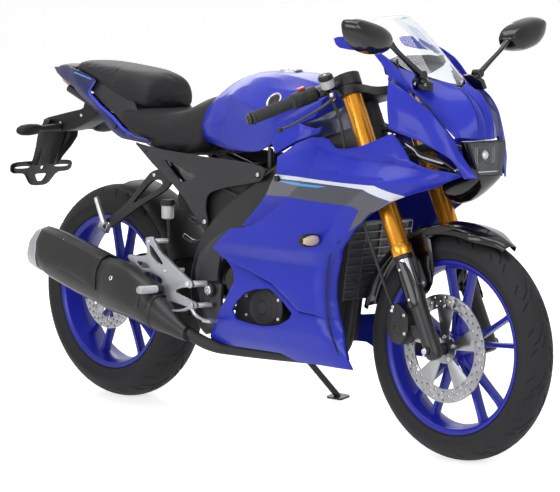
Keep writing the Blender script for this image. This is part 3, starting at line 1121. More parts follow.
def tyre(name, body, axle, reach, width, rim_half, marks, node_name, around=864):
    """A tyre with its tread grooves pressed into the crown."""
    count, lines = marks
    half = width / 2
    bulge = RIM_REACH + (reach - RIM_REACH) * 0.45
    rise = reach - bulge
    arc = (half * half + rise * rise) / (2 * rise)
    span = math.asin(min(1, half / arc))
    profile = []
    crown_steps = 44
    for step in range(crown_steps + 1):
        turn = -span + 2 * span * step / crown_steps
        profile.append((reach - arc * (1 - math.cos(turn)), arc * math.sin(turn), arc * turn))
    side = []
    for radius, out in ((bulge - 0.006, half - 0.0006), (bulge - 0.0075, half + 0.0002),
                        (bulge - 0.009, half - 0.0010), (bulge - 0.016, half - 0.004),
                        (RIM_REACH + 0.0085, rim_half + 0.0030), (RIM_REACH + 0.0055, rim_half + 0.0032),
                        (RIM_REACH + 0.0030, rim_half + 0.0004), (RIM_REACH + 0.0006, rim_half - 0.004),
                        (RIM_REACH - 0.0095, rim_half - 0.0062)):
        side.append((radius, min(out, half), 9.0))
    low = [(radius, -out, 9.0) for radius, out, _ in reversed(side)]
    back = [(RIM_REACH - 0.0095, rim_half - 0.018, 9.0), (RIM_REACH + 0.003, rim_half - 0.020, 9.0),
            (reach - 0.016, 0, 9.0), (RIM_REACH + 0.003, -rim_half + 0.020, 9.0),
            (RIM_REACH - 0.0095, -rim_half + 0.018, 9.0)]
    profile = low + profile + side + back
    pitch = 2 * math.pi * reach / count
    cuts = []
    for sign in (-1, 1):
        for line in lines:
            for (u0, v0), (u1, v1) in zip(line, line[1:]):
                shift = 0.5 * pitch if sign > 0 else 0
                cuts.append((u0 + shift, sign * v0, u1 + shift, sign * v1))

    def groove(u, v):
        if abs(v) > 1:
            return 0
        best = 1
        for u0, v0, u1, v1 in cuts:
            if abs(v - v0) > 0.03 and abs(v - v1) > 0.03:
                continue
            for wrap in (-pitch, 0, pitch):
                du, dv = u1 - u0, v1 - v0
                pu, pv = u - u0 - wrap, v - v0
                t = max(0, min(1, (pu * du + pv * dv) / (du * du + dv * dv)))
                best = min(best, math.hypot(pu - du * t, pv - dv * t))
        return 1 - ease((best - 0.0015) / 0.0016)

    per = around // count
    around = per * count
    depths = [[groove(pitch * step / per, v) for _, _, v in profile] for step in range(per)]
    points, faces = [], []
    total = len(profile)
    for step in range(around):
        turn = 2 * math.pi * step / around
        row = depths[step % per]
        for spot, (radius, out, v) in enumerate(profile):
            deep = radius - 0.0042 * row[spot]
            points.append(axle + Vector((deep * math.sin(turn), out, deep * math.cos(turn))))
    for step in range(around):
        following = (step + 1) % around
        for spot in range(total):
            ahead = (spot + 1) % total
            faces.append((step * total + spot, step * total + ahead, following * total + ahead,
                          following * total + spot))
    form = Form(name, body, "rubber")
    form.add(points, faces, "rubber")
    form.done(weld=0, sharp=50, replaces=(node_name,), slot="tread_rubber")


def spoke_ring(points, thick, drop):
    """A rounded box section at one station of a spoke, by its edge points and its half width."""
    (x0, z0), (x1, z1) = points
    ring = []
    for share, y in ((0, 0.55), (0.1, 0.9), (0.3, 1.0), (0.5, 1.0 - drop), (0.7, 1.0), (0.9, 0.9), (1, 0.55),
                     (1, -0.55), (0.9, -0.9), (0.7, -1.0), (0.5, drop - 1.0), (0.3, -1.0), (0.1, -0.9),
                     (0, -0.55)):
        ring.append((x0 + (x1 - x0) * share, y * thick, z0 + (z1 - z0) * share))
    return ring


def rim(name, body, axle, rim_half, hub_half, node_name):
    """A cast wheel: barrel, hub and five forked spokes."""
    form = Form(name, body, "wheel_blue")
    profile = [(RIM_REACH, rim_half - 0.001), (RIM_REACH - 0.001, rim_half),
               (RIM_REACH - 0.006, rim_half - 0.0005), (RIM_REACH - 0.010, rim_half - 0.003),
               (RIM_REACH - 0.0145, rim_half - 0.006), (RIM_REACH - 0.0155, rim_half - 0.014),
               (RIM_REACH - 0.0215, rim_half - 0.024), (RIM_REACH - 0.0225, 0.010), (RIM_REACH - 0.0250, 0.0),
               (RIM_REACH - 0.0225, -0.010), (RIM_REACH - 0.0215, 0.024 - rim_half),
               (RIM_REACH - 0.0155, 0.014 - rim_half), (RIM_REACH - 0.0145, 0.006 - rim_half),
               (RIM_REACH - 0.010, 0.003 - rim_half), (RIM_REACH - 0.006, 0.0005 - rim_half),
               (RIM_REACH - 0.001, -rim_half), (RIM_REACH, 0.001 - rim_half), (RIM_REACH, 0.0055 - rim_half),
               (RIM_REACH - 0.0098, 0.0065 - rim_half), (RIM_REACH - 0.012, 0.020 - rim_half),
               (RIM_REACH - 0.0165, 0.028 - rim_half), (RIM_REACH - 0.0165, rim_half - 0.028),
               (RIM_REACH - 0.012, rim_half - 0.020), (RIM_REACH - 0.0098, rim_half - 0.0065),
               (RIM_REACH, rim_half - 0.0055)]
    form.lathe(profile, axle, (0, 1, 0), "wheel_blue", 144)
    form.lathe([(0.0085, -hub_half), (0.028, -hub_half), (0.0300, -hub_half + 0.002),
                (0.0312, -hub_half * 0.72), (0.0350, -hub_half * 0.60), (0.0352, -0.020), (0.0352, 0.020),
                (0.0350, hub_half * 0.60), (0.0312, hub_half * 0.72), (0.0300, hub_half - 0.002),
                (0.028, hub_half), (0.0085, hub_half)], axle, (0, 1, 0), "wheel_blue", 64)
    outer = RIM_REACH - 0.018
    for pair in range(5):
        turn = 2 * math.pi * pair / 5
        for side in (-1, 1):
            rings = []
            for radius, middle, half, thick in ((0.026, 0.0060, 0.0110, 0.026),
                                                (0.048, 0.0066, 0.0084, 0.0245),
                                                (0.078, 0.0100, 0.0066, 0.0195),
                                                (0.110, 0.0180, 0.0062, 0.0165),
                                                (0.150, 0.0282, 0.0062, 0.0150),
                                                (0.185, 0.0370, 0.0068, 0.0150),
                                                (0.200, 0.0404, 0.0086, 0.0160),
                                                (outer, 0.0425, 0.0120, 0.0185)):
                low, high = side * (middle - half), side * (middle + half)
                ring = spoke_ring(((low, radius), (high, radius)), thick, 0.14)
                rings.append([axle + Vector((x * math.cos(turn) + z * math.sin(turn), y,
                                             z * math.cos(turn) - x * math.sin(turn))) for x, y, z in ring])
            form.loft(rings, "wheel_blue")
    form.done(bevel=0.0016, segments=2, sharp=32, replaces=(node_name,), slot="rim_paint")


def circle(x, z, radius, sides=14, turn=0.0):
    """A round outline seen from the side."""
    return [(x + radius * math.cos(turn + 2 * math.pi * step / sides),
             z + radius * math.sin(turn + 2 * math.pi * step / sides)) for step in range(sides)]


def disc(name, body, axle, reach, band, side_y, holes, node_name, hub=0.026):
    """A drilled brake disc on its bolted carrier."""
    form = Form(name, body, "steel")
    drilled = []
    rows = ((0.20, 0.0), (0.50, 0.5), (0.80, 0.0))
    for share, shift in rows:
        for step in range(holes):
            turn = 2 * math.pi * (step + shift) / holes
            radius = reach - band * share
            drilled.append(circle(axle.x + radius * math.cos(turn), axle.z + radius * math.sin(turn), 0.0034,
                                  10))
    outline = circle(axle.x, axle.z, reach, 120)
    inner = circle(axle.x, axle.z, reach - band, 90)
    form.plate(outline, side_y - 0.00215, side_y + 0.00215, "steel", holes=[inner] + drilled, step=0.02)
    arms = []
    count = 5
    for step in range(count):
        turn = 2 * math.pi * step / count + 0.3
        low, high = hub + 0.007, reach - band + 0.004
        wide_low, wide_high = 0.30, 0.17
        arms.append([(axle.x + low * math.cos(turn - wide_low), axle.z + low * math.sin(turn - wide_low)),
                     (axle.x + high * math.cos(turn - wide_high - 0.09),
                      axle.z + high * math.sin(turn - wide_high - 0.09)),
                     (axle.x + high * math.cos(turn + wide_high + 0.09),
                      axle.z + high * math.sin(turn + wide_high + 0.09)),
                     (axle.x + low * math.cos(turn + wide_low), axle.z + low * math.sin(turn + wide_low))])
    for arm in arms:
        form.plate(arm, side_y - 0.0018, side_y + 0.0018, "steel", step=0.05)
    form.plate(circle(axle.x, axle.z, hub + 0.013, 60), side_y - 0.0019, side_y + 0.0019, "steel",
               holes=[circle(axle.x, axle.z, 0.0165, 40)], step=0.05)
    for step in range(count):
        turn = 2 * math.pi * step / count + 0.3
        form.bolt((axle.x + (hub + 0.005) * math.cos(turn), side_y - 0.0019,
                   axle.z + (hub + 0.005) * math.sin(turn)), (0, -1, 0), 0.0052, "bolt", 0.7)
    form.done(bevel=0.0004, segments=1, sharp=50, replaces=(node_name,), slot="disc_steel")


def wheels():
    """Both wheels with tyres, rims, discs and the rear sprocket."""
    front = FRONT_AXLE
    rear = REAR_AXLE
    tyre("front_tyre", "wheel_front", front, FRONT_TYRE_RADIUS, 0.102, 0.041, TREAD_MARKS["front"],
         "tyre_front")
    tyre("rear_tyre", "wheel_rear", rear, 0.315, 0.142, 0.057, TREAD_MARKS["rear"], "tyre_rear")
    rim("front_wheel_casting", "wheel_front", front, 0.041, 0.0597, "rim_front")
    rim("rear_wheel_casting", "wheel_rear", rear, 0.057, 0.0597, "rim_rear")
    disc("front_brake_disc", "wheel_front", front, 0.141, 0.036, -0.062, 24, "disc_front")
    disc("rear_brake_disc", "wheel_rear", rear, 0.110, 0.033, -0.062, 20, "disc_rear")


# Front suspension, mudguard and brake.

def leg(distance, side):
    """A spot along a fork leg, from the axle up."""
    spot = FRONT_AXLE + STEER_UP * distance
    return Vector((spot.x, side * LEG_SIDE, spot.z))


def forks():
    """Gold tubes, chromed stanchions and cast feet."""
    gold = Form("fork_outer_tubes", "steering", "gold")
    rings = Form("fork_collars", "steering", "satin")
    chrome = Form("fork_inner_tubes", "steering", "chrome")
    feet = Form("fork_lower_castings", "steering", "satin")
    up = STEER_UP
    for side in (-1, 1):
        base = leg(0, side)
        gold.lathe([(0.0192, 0.2595), (0.0262, 0.2585), (0.0270, 0.2600), (0.0270, 0.2860), (0.0262, 0.2880),
                    (0.0256, 0.2900), (0.0256, 0.5200), (0.0262, 0.5260), (0.0262, 0.5560), (0.0256, 0.5620),
                    (0.0256, 0.6980), (0.0262, 0.7040), (0.0264, 0.7640), (0.0250, 0.7670), (POLE, 0.7670),
                    (POLE, 0.3010), (0.0190, 0.3010)], base, up, "gold", 48)
        gold.lathe([(POLE, 0.7674), (0.0180, 0.7674), (0.0180, 0.7640), (POLE, 0.7640)], base, up, "satin", 6)
        rings.lathe([(0.0192, 0.2586), (0.0245, 0.2586), (0.0245, 0.2500), (0.0225, 0.2480),
                     (0.0192, 0.2480)], base, up, "satin", 40)
        chrome.lathe([(POLE, 0.1720), (0.0184, 0.1720), (0.0184, 0.2990), (POLE, 0.2990)], base, up, "chrome",
                     40)
        feet.lathe([(POLE, -0.0250), (0.0150, -0.0240), (0.0215, -0.0180), (0.0240, -0.0060),
                    (0.0240, 0.0300), (0.0228, 0.0420), (0.0222, 0.1200), (0.0234, 0.1360), (0.0250, 0.1400),
                    (0.0254, 0.1640), (0.0246, 0.1715), (0.0188, 0.1720), (POLE, 0.1700)], base, up, "satin",
                   40)
        lug = leg(0.156, side)
        feet.rod(lug + Vector((0, -side * 0.036, 0)), lug, 0.009, "satin", 16)
        inner_y = 0.0600 if side > 0 else 0.0646
        feet.rod(Vector((FRONT_AXLE.x, side * inner_y, FRONT_AXLE.z)),
                 Vector((FRONT_AXLE.x, side * LEG_SIDE, FRONT_AXLE.z)), 0.0140, "satin", 28)
        feet.rod(Vector((FRONT_AXLE.x, side * LEG_SIDE, FRONT_AXLE.z)),
                 Vector((FRONT_AXLE.x, side * (LEG_SIDE + 0.0330), FRONT_AXLE.z)), 0.0115, "satin", 28, 0.002)
        feet.bolt((FRONT_AXLE.x, side * (LEG_SIDE + 0.0325), FRONT_AXLE.z), (0, side, 0), 0.0082, "bolt", 0.5)
        clamp = leg(-0.006, side)
        feet.bolt(clamp + Vector((-0.022, side * 0.012, -0.008)), (-0.6, side * 0.3, -0.7), 0.0050, "bolt",
                  0.8)
    feet.rod((FRONT_AXLE.x, -0.060, FRONT_AXLE.z), (FRONT_AXLE.x, 0.060, FRONT_AXLE.z), 0.0078, "alloy", 20)
    ear_low, ear_high = leg(0.020, -1), leg(0.066, -1)
    feet.loft([[ear_low + Vector((-0.015, y, 0)) for y in (-0.006, 0.014)]
               + [ear_high + Vector((-0.015, y, 0)) for y in (0.014, -0.006)],
               [ear_low + Vector((-0.062, y, 0.012)) for y in (-0.002, 0.012)]
               + [ear_high + Vector((-0.052, y, -0.004)) for y in (0.012, -0.002)]], "satin")
    gold.done(bevel=0.0006, sharp=30, replaces=("fork_tubes",), slot="gold_fork")
    rings.done(bevel=0.0006, sharp=30)
    chrome.done(replaces=("fork_stanchions",), slot="chrome")
    feet.done(bevel=0.0012, sharp=34, replaces=("fork_feet",), slot="black_metal")

    guard = Form("fork_guards", "steering", "gloss")
    for side in (-1, 1):
        rings_of = []
        for distance, wide in ((0.120, 0.50), (0.132, 0.95), (0.165, 1.15), (0.205, 1.05), (0.235, 0.80),
                               (0.243, 0.35)):
            base = leg(distance, side)
            ring = []
            for step in range(9):
                turn = math.radians(-55 + 110 * step / 8) * wide
                out = Vector((0, side, 0)) * math.cos(turn) + STEER_FRONT * math.sin(turn)
                ring.append(base + out * 0.0285)
            back = [base + (point - base) * 0.92 for point in reversed(ring)]
            rings_of.append(ring + back)
        guard.loft(rings_of, "gloss")
        for distance in (0.140, 0.222):
            guard.bolt(leg(distance, side) + Vector((0, side * 0.0285, 0)), (0, side, 0), 0.0040, "bolt", 0.5)
    guard.done(bevel=0.0008, sharp=40)


# Half of the mudguard's section: how far out, as a share of its half breadth, and how far below its crest.
MUDGUARD_HALF = [(0.10, 0.0012), (0.40, 0.0036), (0.70, 0.0072), (0.92, 0.0125), (0.99, 0.022), (1, 0.030)]
# Its arc about the front axle, in degrees from straight ahead.
MUDGUARD_START = 58.5
MUDGUARD_SPAN = 107.5


def mudguard():
    """The front mudguard: an arched shell that narrows ahead, with a side plate on each leg."""
    fender = Form("front_mudguard", "steering", "gloss")
    crest = FRONT_TYRE_RADIUS + 0.030
    rings = []
    section = [(-side, drop) for side, drop in reversed(MUDGUARD_HALF)] + [(0, 0)] + MUDGUARD_HALF
    steps = 40
    for step in range(steps + 1):
        share = step / steps
        turn = math.radians(MUDGUARD_START + MUDGUARD_SPAN * share)
        narrow = 1 - 0.62 * ease((0.16 - share) / 0.16) - 0.16 * ease((share - 0.80) / 0.20)
        half = 0.0625 * narrow
        high = crest - 0.0012
        out = Vector((math.cos(turn), 0, math.sin(turn)))
        ring, back = [], []
        for side, drop in section:
            deep = drop * (0.45 + 0.55 * narrow)
            ring.append(FRONT_AXLE + out * (high - deep) + Vector((0, side * half, 0)))
            back.append(FRONT_AXLE + out * (high - 0.0032 - deep * 0.97)
                        + Vector((0, side * (half - 0.0028), 0)))
        rings.append(ring + list(reversed(back)))
    fender.loft(rings, "gloss")
    fender.done(bevel=0.0006, sharp=45, replaces=("front_fender",), slot="gloss_black")
    plates = Form("mudguard_sides", "steering", "gloss", "grey")
    outline = [(1.176, 0.548), (1.205, 0.566), (1.262, 0.592), (1.292, 0.575), (1.300, 0.540), (1.306, 0.500),
               (1.300, 0.462), (1.288, 0.440), (1.262, 0.440), (1.246, 0.470), (1.232, 0.506), (1.200, 0.532)]
    wing = [(1.215, 0.590), (1.262, 0.604), (1.330, 0.618), (1.372, 0.612), (1.330, 0.600), (1.292, 0.592),
            (1.262, 0.586), (1.235, 0.578)]
    for side in (-1, 1):
        plates.plate(outline, side * 0.0655, side * 0.0615, "gloss", step=0.03)
        plates.plate([(x, z - 0.004) for x, z in wing], side * 0.0640, side * 0.0600, "grey", step=0.03)
        foot = leg(0.160, side)
        plates.rod((foot.x, side * 0.060, foot.z), (foot.x, side * 0.0785, foot.z), 0.0088, "gloss", 20)
        plates.bolt((1.272, side * 0.0655, 0.462), (0, side, 0), 0.0042, "bolt", 0.5)
    plates.done(bevel=0.0012, sharp=40)


def front_brake():
    """Two-piston caliper with its bracket, pins and banjo bolt."""
    body = Form("front_brake_caliper", "steering", "satin")
    middle = FRONT_AXLE + Vector((-0.131, 0, 0.051))
    outline = [(-0.040, 0.002), (-0.034, 0.030), (-0.024, 0.050), (-0.004, 0.057), (0.010, 0.052),
               (0.030, 0.036), (0.038, 0.022), (0.040, -0.006), (0.032, -0.030), (0.012, -0.051),
               (-0.008, -0.048), (-0.020, -0.044), (-0.032, -0.024)]
    shape = [(middle.x + x, middle.z + z) for x, z in outline]
    body.plate(shape, -0.1035, -0.0670, "satin", step=0.03)
    body.plate([(middle.x + x * 0.92, middle.z + z * 0.92) for x, z in outline], -0.0575, -0.0430, "satin",
               step=0.03)
    bridge = [(-0.038, 0.004), (-0.033, 0.030), (-0.020, 0.050), (-0.009, 0.046), (-0.022, 0.020),
              (-0.026, -0.010), (-0.016, -0.042), (-0.024, -0.040), (-0.036, -0.014)]
    body.plate([(middle.x + x, middle.z + z) for x, z in bridge], -0.0680, -0.0560, "satin", step=0.03)
    for z in (-0.018, 0.022):
        body.lathe([(POLE, 0), (0.0135, 0), (0.0155, -0.002), (0.0155, -0.008), (POLE, -0.008)],
                   (middle.x - 0.002, -0.1060, middle.z + z), (0, -1, 0), "satin", 32)
        body.lathe([(POLE, 0.0008), (0.0075, 0.0008), (0.0082, 0.0), (POLE, 0.0)],
                   (middle.x - 0.002, -0.1060, middle.z + z), (0, -1, 0), "gloss", 24)
    for x, z in ((0.026, 0.028), (0.028, -0.020), (-0.014, 0.046)):
        body.bolt((middle.x + x, -0.1035, middle.z + z), (0, -1, 0), 0.0046, "bolt", 0.7)
    body.bolt((middle.x - 0.020, -0.100, middle.z + 0.036), (-0.4, -0.6, 0.6), 0.0062, "bolt", 0.9)
    body.done(bevel=0.0018, segments=3, sharp=34, replaces=("front_caliper",), slot="black_metal")


HOSE_ROUTE = [(1.196, -0.092, 0.380), (1.180, -0.112, 0.440), (1.168, -0.134, 0.510), (1.150, -0.150, 0.580),
              (1.118, -0.157, 0.660), (1.082, -0.157, 0.740), (1.064, -0.158, 0.820), (1.062, -0.170, 0.890),
              (1.033, -0.1855, 0.9445)]


def brake_hose():
    """The front brake's hose, along its route from caliper to lever."""
    curve = bpy.data.curves.new("front_brake_line", "CURVE")
    curve.dimensions = "3D"
    curve.bevel_depth = 0.0042
    curve.bevel_resolution = 4
    curve.resolution_u = 12
    curve.use_fill_caps = True
    line = curve.splines.new("NURBS")
    line.points.add(len(HOSE_ROUTE) - 1)
    for point, spot in zip(line.points, HOSE_ROUTE):
        point.co = (*(PARK @ Vector(spot)), 1)
    line.order_u = 3
    line.use_endpoint_u = True
    curve.materials.append(PAINT["grip"])
    hose = bpy.data.objects.new("front_brake_line", curve)
    bpy.context.scene.collection.objects.link(hose)
    give(hose, "steering", ("front_brake_hose",))


# Front: lamp, running lights, chin, screen, wings, mirrors.

def mesh_sheet(form, rows, finish, wall=0.003, hub=None):
    """A curved sheet through a grid of points, with a wall and closed edges."""
    count, wide = len(rows), len(rows[0])
    outer = [Vector(spot) for row in rows for spot in row]
    normals = []
    for i in range(count):
        for j in range(wide):
            along = Vector(rows[min(i + 1, count - 1)][j]) - Vector(rows[max(i - 1, 0)][j])
            over = Vector(rows[i][min(j + 1, wide - 1)]) - Vector(rows[i][max(j - 1, 0)])
            normals.append(along.cross(over).normalized())
    hub = Vector(hub) if hub is not None else sum(outer, Vector()) / len(outer) - Vector((0.3, 0, 0.2))
    flip = sum((spot - hub).dot(normal) for spot, normal in zip(outer, normals)) < 0
    normals = [-normal if flip else normal for normal in normals]
    inner = [spot - normal * wall for spot, normal in zip(outer, normals)]
    total = len(outer)
    faces = []
    for i in range(count - 1):
        for j in range(wide - 1):
            a, b, c, d = i * wide + j, i * wide + j + 1, (i + 1) * wide + j + 1, (i + 1) * wide + j
            faces += [(a, b, c, d), (d + total, c + total, b + total, a + total)]
    border = [j for j in range(wide)] + [i * wide + wide - 1 for i in range(1, count)]
    border += [(count - 1) * wide + j for j in range(wide - 2, -1, -1)] + [i * wide
                                                                           for i in range(count - 2, 0, -1)]
    for a, b in zip(border, border[1:] + border[:1]):
        faces.append((b, a, a + total, b + total))
    form.add(outer + inner, faces, finish)


def net(rows, steps_long, steps_cross):
    """Fill a coarse grid of points with smooth lines both ways."""
    long_rows = [smooth_line(row, steps_cross) for row in rows]
    columns = [smooth_line([row[j] for row in long_rows], steps_long) for j in range(len(long_rows[0]))]
    return [[column[i] for column in columns] for i in range(len(columns[0]))]


def headlight():
    """A deep dark box with one projector, two slim light bars and a lip below."""
    box = Form("headlight_box", "chassis", "gloss")
    top_z, low_z = 0.8345, 0.7435
    front_top, front_low = 1.424, 1.4375
    half_top, half_low = 0.0715, 0.0465
    rim_front = [Vector((front_top, -half_top, top_z)), Vector((front_top, half_top, top_z)),
                 Vector((front_low, half_low, low_z)), Vector((front_low, -half_low, low_z))]
    middle = sum(rim_front, Vector()) / 4

    def inset(share, back):
        return [point + (middle - point) * share + Vector((-back, 0, 0)) for point in rim_front]

    rear = [Vector((1.395, point.y * 0.98, point.z)) for point in rim_front]
    box.loft([rear, inset(0.0, 0.0), inset(0.07, 0.0005), inset(0.12, 0.016), inset(0.30, 0.030)], "gloss")
    box.done(bevel=0.0025, segments=3, sharp=25, replaces=("headlamp",), slot="lamp_glass")

    inside_lamp = Form("headlight_projector", "chassis", "satin")
    centre = Vector((1.412, 0, 0.798))
    ahead = Vector((1, 0, 0.05))
    inside_lamp.lathe([(POLE, -0.004), (0.0190, -0.004), (0.0190, 0.0075), (0.0175, 0.0092), (0.0150, 0.0080),
                       (0.0146, 0.0010), (POLE, 0.0010)], centre, ahead, "satin", 48)
    inside_lamp.lathe([(POLE, 0.0115), (0.0060, 0.0105), (0.0105, 0.0075), (0.0138, 0.0020), (0.0138, 0.0005),
                       (POLE, 0.0005)], centre, ahead, "lens_white", 40)
    for side in (-1, 1):
        for reach, tall in ((0.029, 0.0215), (0.036, 0.0215)):
            inside_lamp.loft([[Vector((1.4085, side * reach + w, 0.797 + t))
                               for w, t in ((-0.0011, tall), (0.0011, tall), (0.0011, -tall), (-0.0011, -tall))],
                              [Vector((1.4165, side * reach + w, 0.797 + t))
                               for w, t in ((-0.0008, tall), (0.0008, tall), (0.0008, -tall), (-0.0008, -tall))]],
                             "alloy")
    inside_lamp.loft([[Vector((1.4140, y, z)) for y, z in ((-0.040, 0.7585), (0.040, 0.7585), (0.037, 0.7535),
                                                           (-0.037, 0.7535))],
                      [Vector((1.4270, y, z)) for y, z in ((-0.041, 0.7575), (0.041, 0.7575), (0.038, 0.7545),
                                                           (-0.038, 0.7545))]], "lens_white")
    inside_lamp.done(bevel=0.0006, sharp=30)

    glass = Form("headlight_glass", "chassis", "glass")
    rows = []
    for step in range(5):
        share = step / 4
        half = half_top + (half_low - half_top) * share - 0.0035
        x = front_top + (front_low - front_top) * share + 0.0006 * math.sin(math.pi * share)
        z = top_z - 0.003 + (low_z - top_z + 0.006) * share
        rows.append([(x + 0.0012 * (1 - (y / half) ** 2), y, z)
                     for y in (-half, -half * 0.6, -half * 0.2, half * 0.2, half * 0.6, half)])
    mesh_sheet(glass, rows, "glass", wall=0.0016, hub=(1.2, 0, 0.79))
    glass.done()


def running_lights():
    """The slanted light slits in the nose's dark grooves."""
    groove = Form("running_light_grooves", "chassis", "gloss")
    high = [(1.258, 0.156, 0.836), (1.290, 0.149, 0.822), (1.322, 0.139, 0.803), (1.371, 0.117, 0.787),
            (1.398, 0.097, 0.764), (1.414, 0.083, 0.748)]
    low = [(1.262, 0.156, 0.828), (1.282, 0.145, 0.806), (1.302, 0.134, 0.782), (1.350, 0.118, 0.768),
           (1.386, 0.098, 0.756), (1.410, 0.080, 0.742)]
    rows = net([[Vector((x, -y + 0.004, z)) for x, y, z in high],
                [Vector((x, -y + 0.010, z + 0.002)) for x, y, z in low]], 3, 5)
    mesh_sheet(groove, rows, "gloss", wall=0.003, hub=(1.2, 0, 0.8))
    groove.mirror().done(bevel=0.0006, sharp=40)
    strip = Form("running_light_strips", "chassis", "lens_white")
    upper = [(1.276, 0.1535, 0.8275), (1.300, 0.1465, 0.8125), (1.316, 0.1395, 0.7975),
             (1.356, 0.1215, 0.7845), (1.380, 0.1065, 0.7765), (1.400, 0.0945, 0.7625)]
    under = [(1.280, 0.1525, 0.8215), (1.300, 0.1445, 0.8070), (1.312, 0.1385, 0.7925),
             (1.354, 0.1195, 0.7800), (1.378, 0.1045, 0.7720), (1.398, 0.0930, 0.7580)]
    rows = net([[Vector((x, -y + 0.0030, z)) for x, y, z in upper],
                [Vector((x, -y + 0.0045, z)) for x, y, z in under]], 2, 6)
    mesh_sheet(strip, rows, "lens_white", wall=0.002, hub=(1.2, 0, 0.8))
    strip.mirror().done(bevel=0.0004, sharp=40)


CHIN_SIDE = [(1.445, 0.748), (1.440, 0.734), (1.425, 0.716), (1.402, 0.695), (1.376, 0.678), (1.350, 0.669),
             (1.322, 0.668), (1.309, 0.672), (1.302, 0.690), (1.303, 0.712), (1.312, 0.742), (1.330, 0.760),
             (1.370, 0.762), (1.410, 0.756)]


def chin():
    """The dark chin under the lamp."""
    form = Form("chin_panel", "chassis", "gloss")
    rings = []
    for side, shrink in ((-1.0, 0.60), (-0.93, 0.72), (-0.72, 0.84), (-0.40, 0.95), (0, 1.0), (0.40, 0.95),
                         (0.72, 0.84), (0.93, 0.72), (1.0, 0.60)):
        rings.append([Vector((1.372 + (x - 1.372) * (0.72 + 0.28 * shrink), side * 0.0435,
                              0.752 + (z - 0.752) * shrink)) for x, z in CHIN_SIDE])
    form.loft(rings, "gloss")
    form.done(bevel=0.002, segments=3, sharp=25, replaces=("chin_cowl",), slot="gloss_black")


SCREEN_GRID = [[(1.3235, 0.000, 0.9720), (1.3080, 0.030, 0.9790), (1.2900, 0.053, 0.9880),
                (1.2600, 0.074, 0.9980), (1.2320, 0.091, 1.0080), (1.1640, 0.118, 1.0450)],
               [(1.2930, 0.000, 1.0010), (1.2800, 0.030, 1.0060), (1.2640, 0.053, 1.0110),
                (1.2360, 0.074, 1.0190), (1.2060, 0.091, 1.0290), (1.1280, 0.114, 1.0550)],
               [(1.2620, 0.000, 1.0300), (1.2520, 0.028, 1.0330), (1.2380, 0.050, 1.0370),
                (1.2120, 0.070, 1.0430), (1.1800, 0.086, 1.0500), (1.0900, 0.108, 1.0690)],
               [(1.1960, 0.000, 1.0910), (1.1910, 0.022, 1.0920), (1.1800, 0.040, 1.0940),
                (1.1580, 0.057, 1.0980), (1.1300, 0.072, 1.1030), (1.0540, 0.090, 1.1130)],
               [(1.1560, 0.000, 1.1230), (1.1530, 0.018, 1.1235), (1.1450, 0.033, 1.1240),
                (1.1300, 0.048, 1.1245), (1.1060, 0.062, 1.1260), (1.0520, 0.077, 1.1300)],
               [(1.1220, 0.000, 1.1470), (1.1200, 0.014, 1.1470), (1.1140, 0.028, 1.1465),
                (1.1020, 0.040, 1.1450), (1.0880, 0.050, 1.1430), (1.0580, 0.062, 1.1400)],]


def screen():
    """The clear screen with its edge."""
    form = Form("wind_screen", "chassis", "screen")
    grid = []
    for row in SCREEN_GRID:
        grid.append([Vector((x, -y, z)) for x, y, z in reversed(row)]
                    + [Vector((x, y, z)) for x, y, z in row[1:]])
    mesh_sheet(form, net(grid, 6, 4), "screen", wall=0.0028, hub=(1.0, 0, 0.9))
    form.done(bevel=0.0008, replaces=("windscreen",), slot="clear_screen")
    seal = Form("screen_edge", "chassis", "gloss")
    edge = [Vector((x, -y, z - 0.0018)) for x, y, z in reversed(SCREEN_GRID[0][:5])]
    edge += [Vector((x, y, z - 0.0018)) for x, y, z in SCREEN_GRID[0][1:5]]
    seal.sweep(edge, 0.0028, "gloss", sides=10, steps=8)
    for side in (-1, 1):
        for x, y, z in ((1.247, 0.083, 1.0050), (1.196, 0.099, 1.0350)):
            seal.bolt((x, side * y, z), (0.5, side * 0.6, 0.7), 0.0042, "gloss", 0.5)
    seal.done()


NOSE_WING = [(0.990, 1.085), (1.000, 1.070), (1.014, 1.062), (1.048, 1.058), (1.080, 1.0565), (1.112, 1.054),
             (1.140, 1.050), (1.168, 1.026), (1.190, 1.000), (1.205, 0.976), (1.212, 0.960), (1.240, 0.952),
             (1.262, 0.946), (1.262, 0.966), (1.240, 0.995), (1.216, 1.018), (1.190, 1.039), (1.148, 1.060),
             (1.100, 1.077), (1.060, 1.088), (1.030, 1.0915), (1.005, 1.090)]


def nose_wings():
    """The painted fins that run back beside the screen."""
    form = Form("nose_side_fins", "chassis", "blue")

    def face(x, z):
        return -(0.1285 - 0.004 * ease((x - 1.19) / 0.07) - 0.003 * ease((z - 1.05) / 0.04))

    form.plate(NOSE_WING, face, lambda x, z: face(x, z) + 0.004, "blue", step=0.014)
    form.mirror().done(bevel=0.0015, segments=3, sharp=40, replaces=("nose_wings",), slot="body_colour")


def dash():
    """The meter with its dark display in a moulded frame."""
    form = Form("meter_case", "chassis", "black")
    corners = [(1.128, 1.022), (1.188, 1.048), (1.204, 1.022), (1.140, 0.990)]
    form.plate(soften(corners, 2, 0.14), -0.0830, 0.0830, "black", step=0.05)
    form.done(bevel=0.003, segments=3, sharp=34, replaces=("instrument_panel",), slot="black_plastic")
    face = Form("meter_display", "chassis", "gloss")
    along = (Vector((1.188, 0, 1.048)) - Vector((1.128, 0, 1.022))).normalized()
    out = Vector((-along.z, 0, along.x))
    centre = Vector((1.158, 0, 1.035)) - out * 0.0008
    ring = [centre + along * a + Vector((0, b, 0)) for a, b in soften([(-0.026, -0.070), (0.026, -0.062),
                                                                       (0.026, 0.062), (-0.026, 0.070)], 2,
                                                                      0.12)]
    face.loft([[point - out * 0.003 for point in ring], [point + out * 0.0012 for point in ring]], "gloss")
    face.done(bevel=0.0006)


